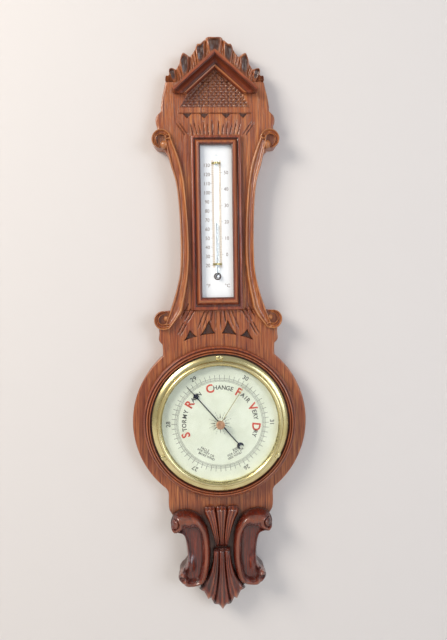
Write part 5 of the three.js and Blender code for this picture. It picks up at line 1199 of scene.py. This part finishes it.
# Thermometer plate's printing: Fahrenheit on the left, Celsius on the right, a buff strip behind the tube.
# A reading's height is that of zero plus the pitch times the reading.
scale = {
    "front": plate["front"] + 0.03, "height": 5.4, "squeeze": 0.9, "strip": (-6.9, 232, 391),
    "stripWidth": 3.4, "tickX": (3.6, 6.9), "longTick": 2.2, "tickWidth": 0.35, "unitHeight": 205,
    "°F": {"side": -1, "x": -14.2, "zero": 208.4, "pitch": 1.35,
           "numbers": range(20, 131, 10), "ticks": range(20, 133, 2)},
    "°C": {"side": 1, "x": 14.6, "zero": 251.6, "pitch": 2.43,
           "numbers": range(0, 51, 10), "ticks": range(-6, 56)},
}
inner, outer = scale["tickX"]
numbers, ticks = [], []
for unit in ("°F", "°C"):
    half, front = scale[unit], scale["front"]
    numbers.append(letterShell(unit, scale["height"], half["x"], scale["unitHeight"], 0, front))
    for value in half["numbers"]:
        z = half["zero"] + half["pitch"] * value
        numbers.append(letterShell(str(value), scale["height"], half["x"], z, 0, front, scale["squeeze"]))
    for value in half["ticks"]:
        z, reach = half["zero"] + half["pitch"] * value, outer if value % 10 else outer + scale["longTick"]
        ticks.append((half["side"] * inner, z, half["side"] * reach, z, *[scale["tickWidth"]] * 2))
stripX, stripFoot, stripTop = scale["strip"]
stripMiddle, stripWidth = (stripX - inner) / 2, scale["stripWidth"]
strips = [(x, stripFoot, x, stripTop, stripWidth, stripWidth) for x in (-stripMiddle, stripMiddle)]
addPrint("scaleStrips", [strokeShells(strips, scale["front"] - 0.02)], "buffInk")
addPrint("scaleNumbers", numbers, "brownInk")
addPrint("scaleTicks", [strokeShells(ticks, scale["front"] + 0.03)], "brownInk")

# Mercury column in the tube's bore, from the bulb to the reading: four rings, the last drawn in to a meniscus
bulb, tube = span("mercury_bulb"), span("thermometer_tube")
column = {"radius": 0.75, "reading": 66, "meniscus": 0.6, "narrow": 0.35, "steps": 16}


def makeColumn():
    steps, top = column["steps"], scale["°F"]["zero"] + scale["°F"]["pitch"] * column["reading"]
    angle = (np.arange(steps) * 2 * np.pi / steps)[None]
    height = np.array([(bulb["foot"] + bulb["top"]) / 2, bulb["top"], top - column["meniscus"], top])[:, None]
    radius = column["radius"] * np.array([1, 1, 1, column["narrow"]])[:, None]
    depth = (tube["back"] + tube["front"]) / 2 + radius * np.sin(angle)
    points = np.stack([radius * np.cos(angle), depth, height + 0 * angle], -1).reshape(-1, 3)
    rows, k = len(height), np.arange(steps)[None]
    faces = [gridFaces(rows, steps, False, True), k[:, ::-1], k + (rows - 1) * steps]
    return points, faces, np.zeros(len(points))


addPiece("mercuryColumn", makeColumn(), metals["quicksilver"])
print("dial and scale printed")

# Every node that still shows takes its slot's finish
finishes = {
    "oak_board": boardOak, "carved_oak": carvedOak, "brass": brass, "coppered_brass": copper,
    "steel": metals["machinedSteel"], "blued_steel": metals["heatBluedSteel"],
    "dial_enamel": glazes["creamEnamel"], "milk_glass": glazes["opalGlass"], "clear_glass": clearGlass,
    "mercury": metals["quicksilver"],
}
for part in frame["record"]["subparts"]:
    node = nodes[part["node"]]
    node.data.materials.clear()
    node.data.materials.append(finishes[part["material_slot"]])

# Stage: a pale wall that only its front shows, and a pale floor
stage = {
    "half": 3, "reach": 4, "floor": -0.46, "wallPlace": 0.002,
    "wallColour": "#dcd8d6", "floorColour": "#dedbd8",
}


# Matt paint. The one-sided kind shows its front only, to rays from the camera, a mirror or glass.
def paintShader(tree, colour, oneSided):
    paint = addNode(tree, "BsdfPrincipled", {
        "Base Color": linearColour(colour), "Roughness": 0.9, "Specular IOR Level": 0.1})
    if not oneSided:
        return paint
    path = addNode(tree, "LightPath").outputs
    seen = maths(tree, "MAXIMUM", path["Is Camera Ray"], path["Is Glossy Ray"])
    seen = maths(tree, "MAXIMUM", seen, path["Is Transmission Ray"])
    facing = maths(tree, "SUBTRACT", 1.0, addNode(tree, "NewGeometry").outputs["Backfacing"])
    share = maths(tree, "MULTIPLY", seen, facing)
    through = addNode(tree, "BsdfTransparent")
    return addNode(tree, "MixShader", {0: share, 1: through, 2: paint})


def makeStage(name, corners, colour, oneSided):
    mesh = bpy.data.meshes.new(name)
    mesh.from_pydata(corners, [], [(0, 1, 2, 3)])
    mesh.materials.append(newMaterial(name + "Paint", paintShader, colour, oneSided))
    addObject(name, mesh)


half, low, wallY, reach = stage["half"], stage["floor"], stage["wallPlace"], stage["reach"]
wallCorners = [(-half, wallY, low), (half, wallY, low), (half, wallY, half), (-half, wallY, half)]
makeStage("wall", wallCorners, stage["wallColour"], True)
floorCorners = [(-half, -reach, low), (half, -reach, low), (half, reach, low), (-half, reach, low)]
makeStage("floor", floorCorners, stage["floorColour"], False)


# Soft lamps, each turned to its aim: tilted by the arctangent of the level distance over the drop, and then
# turned by the bearing
def addLamp(name, place, aim, size, power, colour):
    data = bpy.data.lights.new(name, "AREA")
    data.shape, data.size, data.energy, data.color = "SQUARE", size, power, linearColour(colour)[:3]
    lamp = addObject(name, data)
    lamp.location = place
    direction = np.subtract(aim, place)
    level = math.hypot(direction[0], direction[1])
    lamp.rotation_euler = (math.atan2(level, -direction[2]), 0, math.atan2(-direction[0], direction[1]))


addLamp("keyLamp", (-1.5, -1.3, 1.3), (0, 0, 0.15), 0.9, 40, "#fff6ea")
addLamp("fillLamp", (1.5, -1.9, 0.5), (0, 0, 0.1), 1.2, 19, "#eef4ff")
addLamp("backLamp", (0.6, 2.0, 1.2), (0, 0, 0.15), 1.4, 26, "#ffffff")
world = bpy.data.worlds.new("studio")
world.use_nodes = True
world.node_tree.nodes["Background"].inputs[0].default_value = linearColour("#e8ebee")
world.node_tree.nodes["Background"].inputs[1].default_value = 0.47
bpy.context.scene.world = world
print("stage and lamps set")
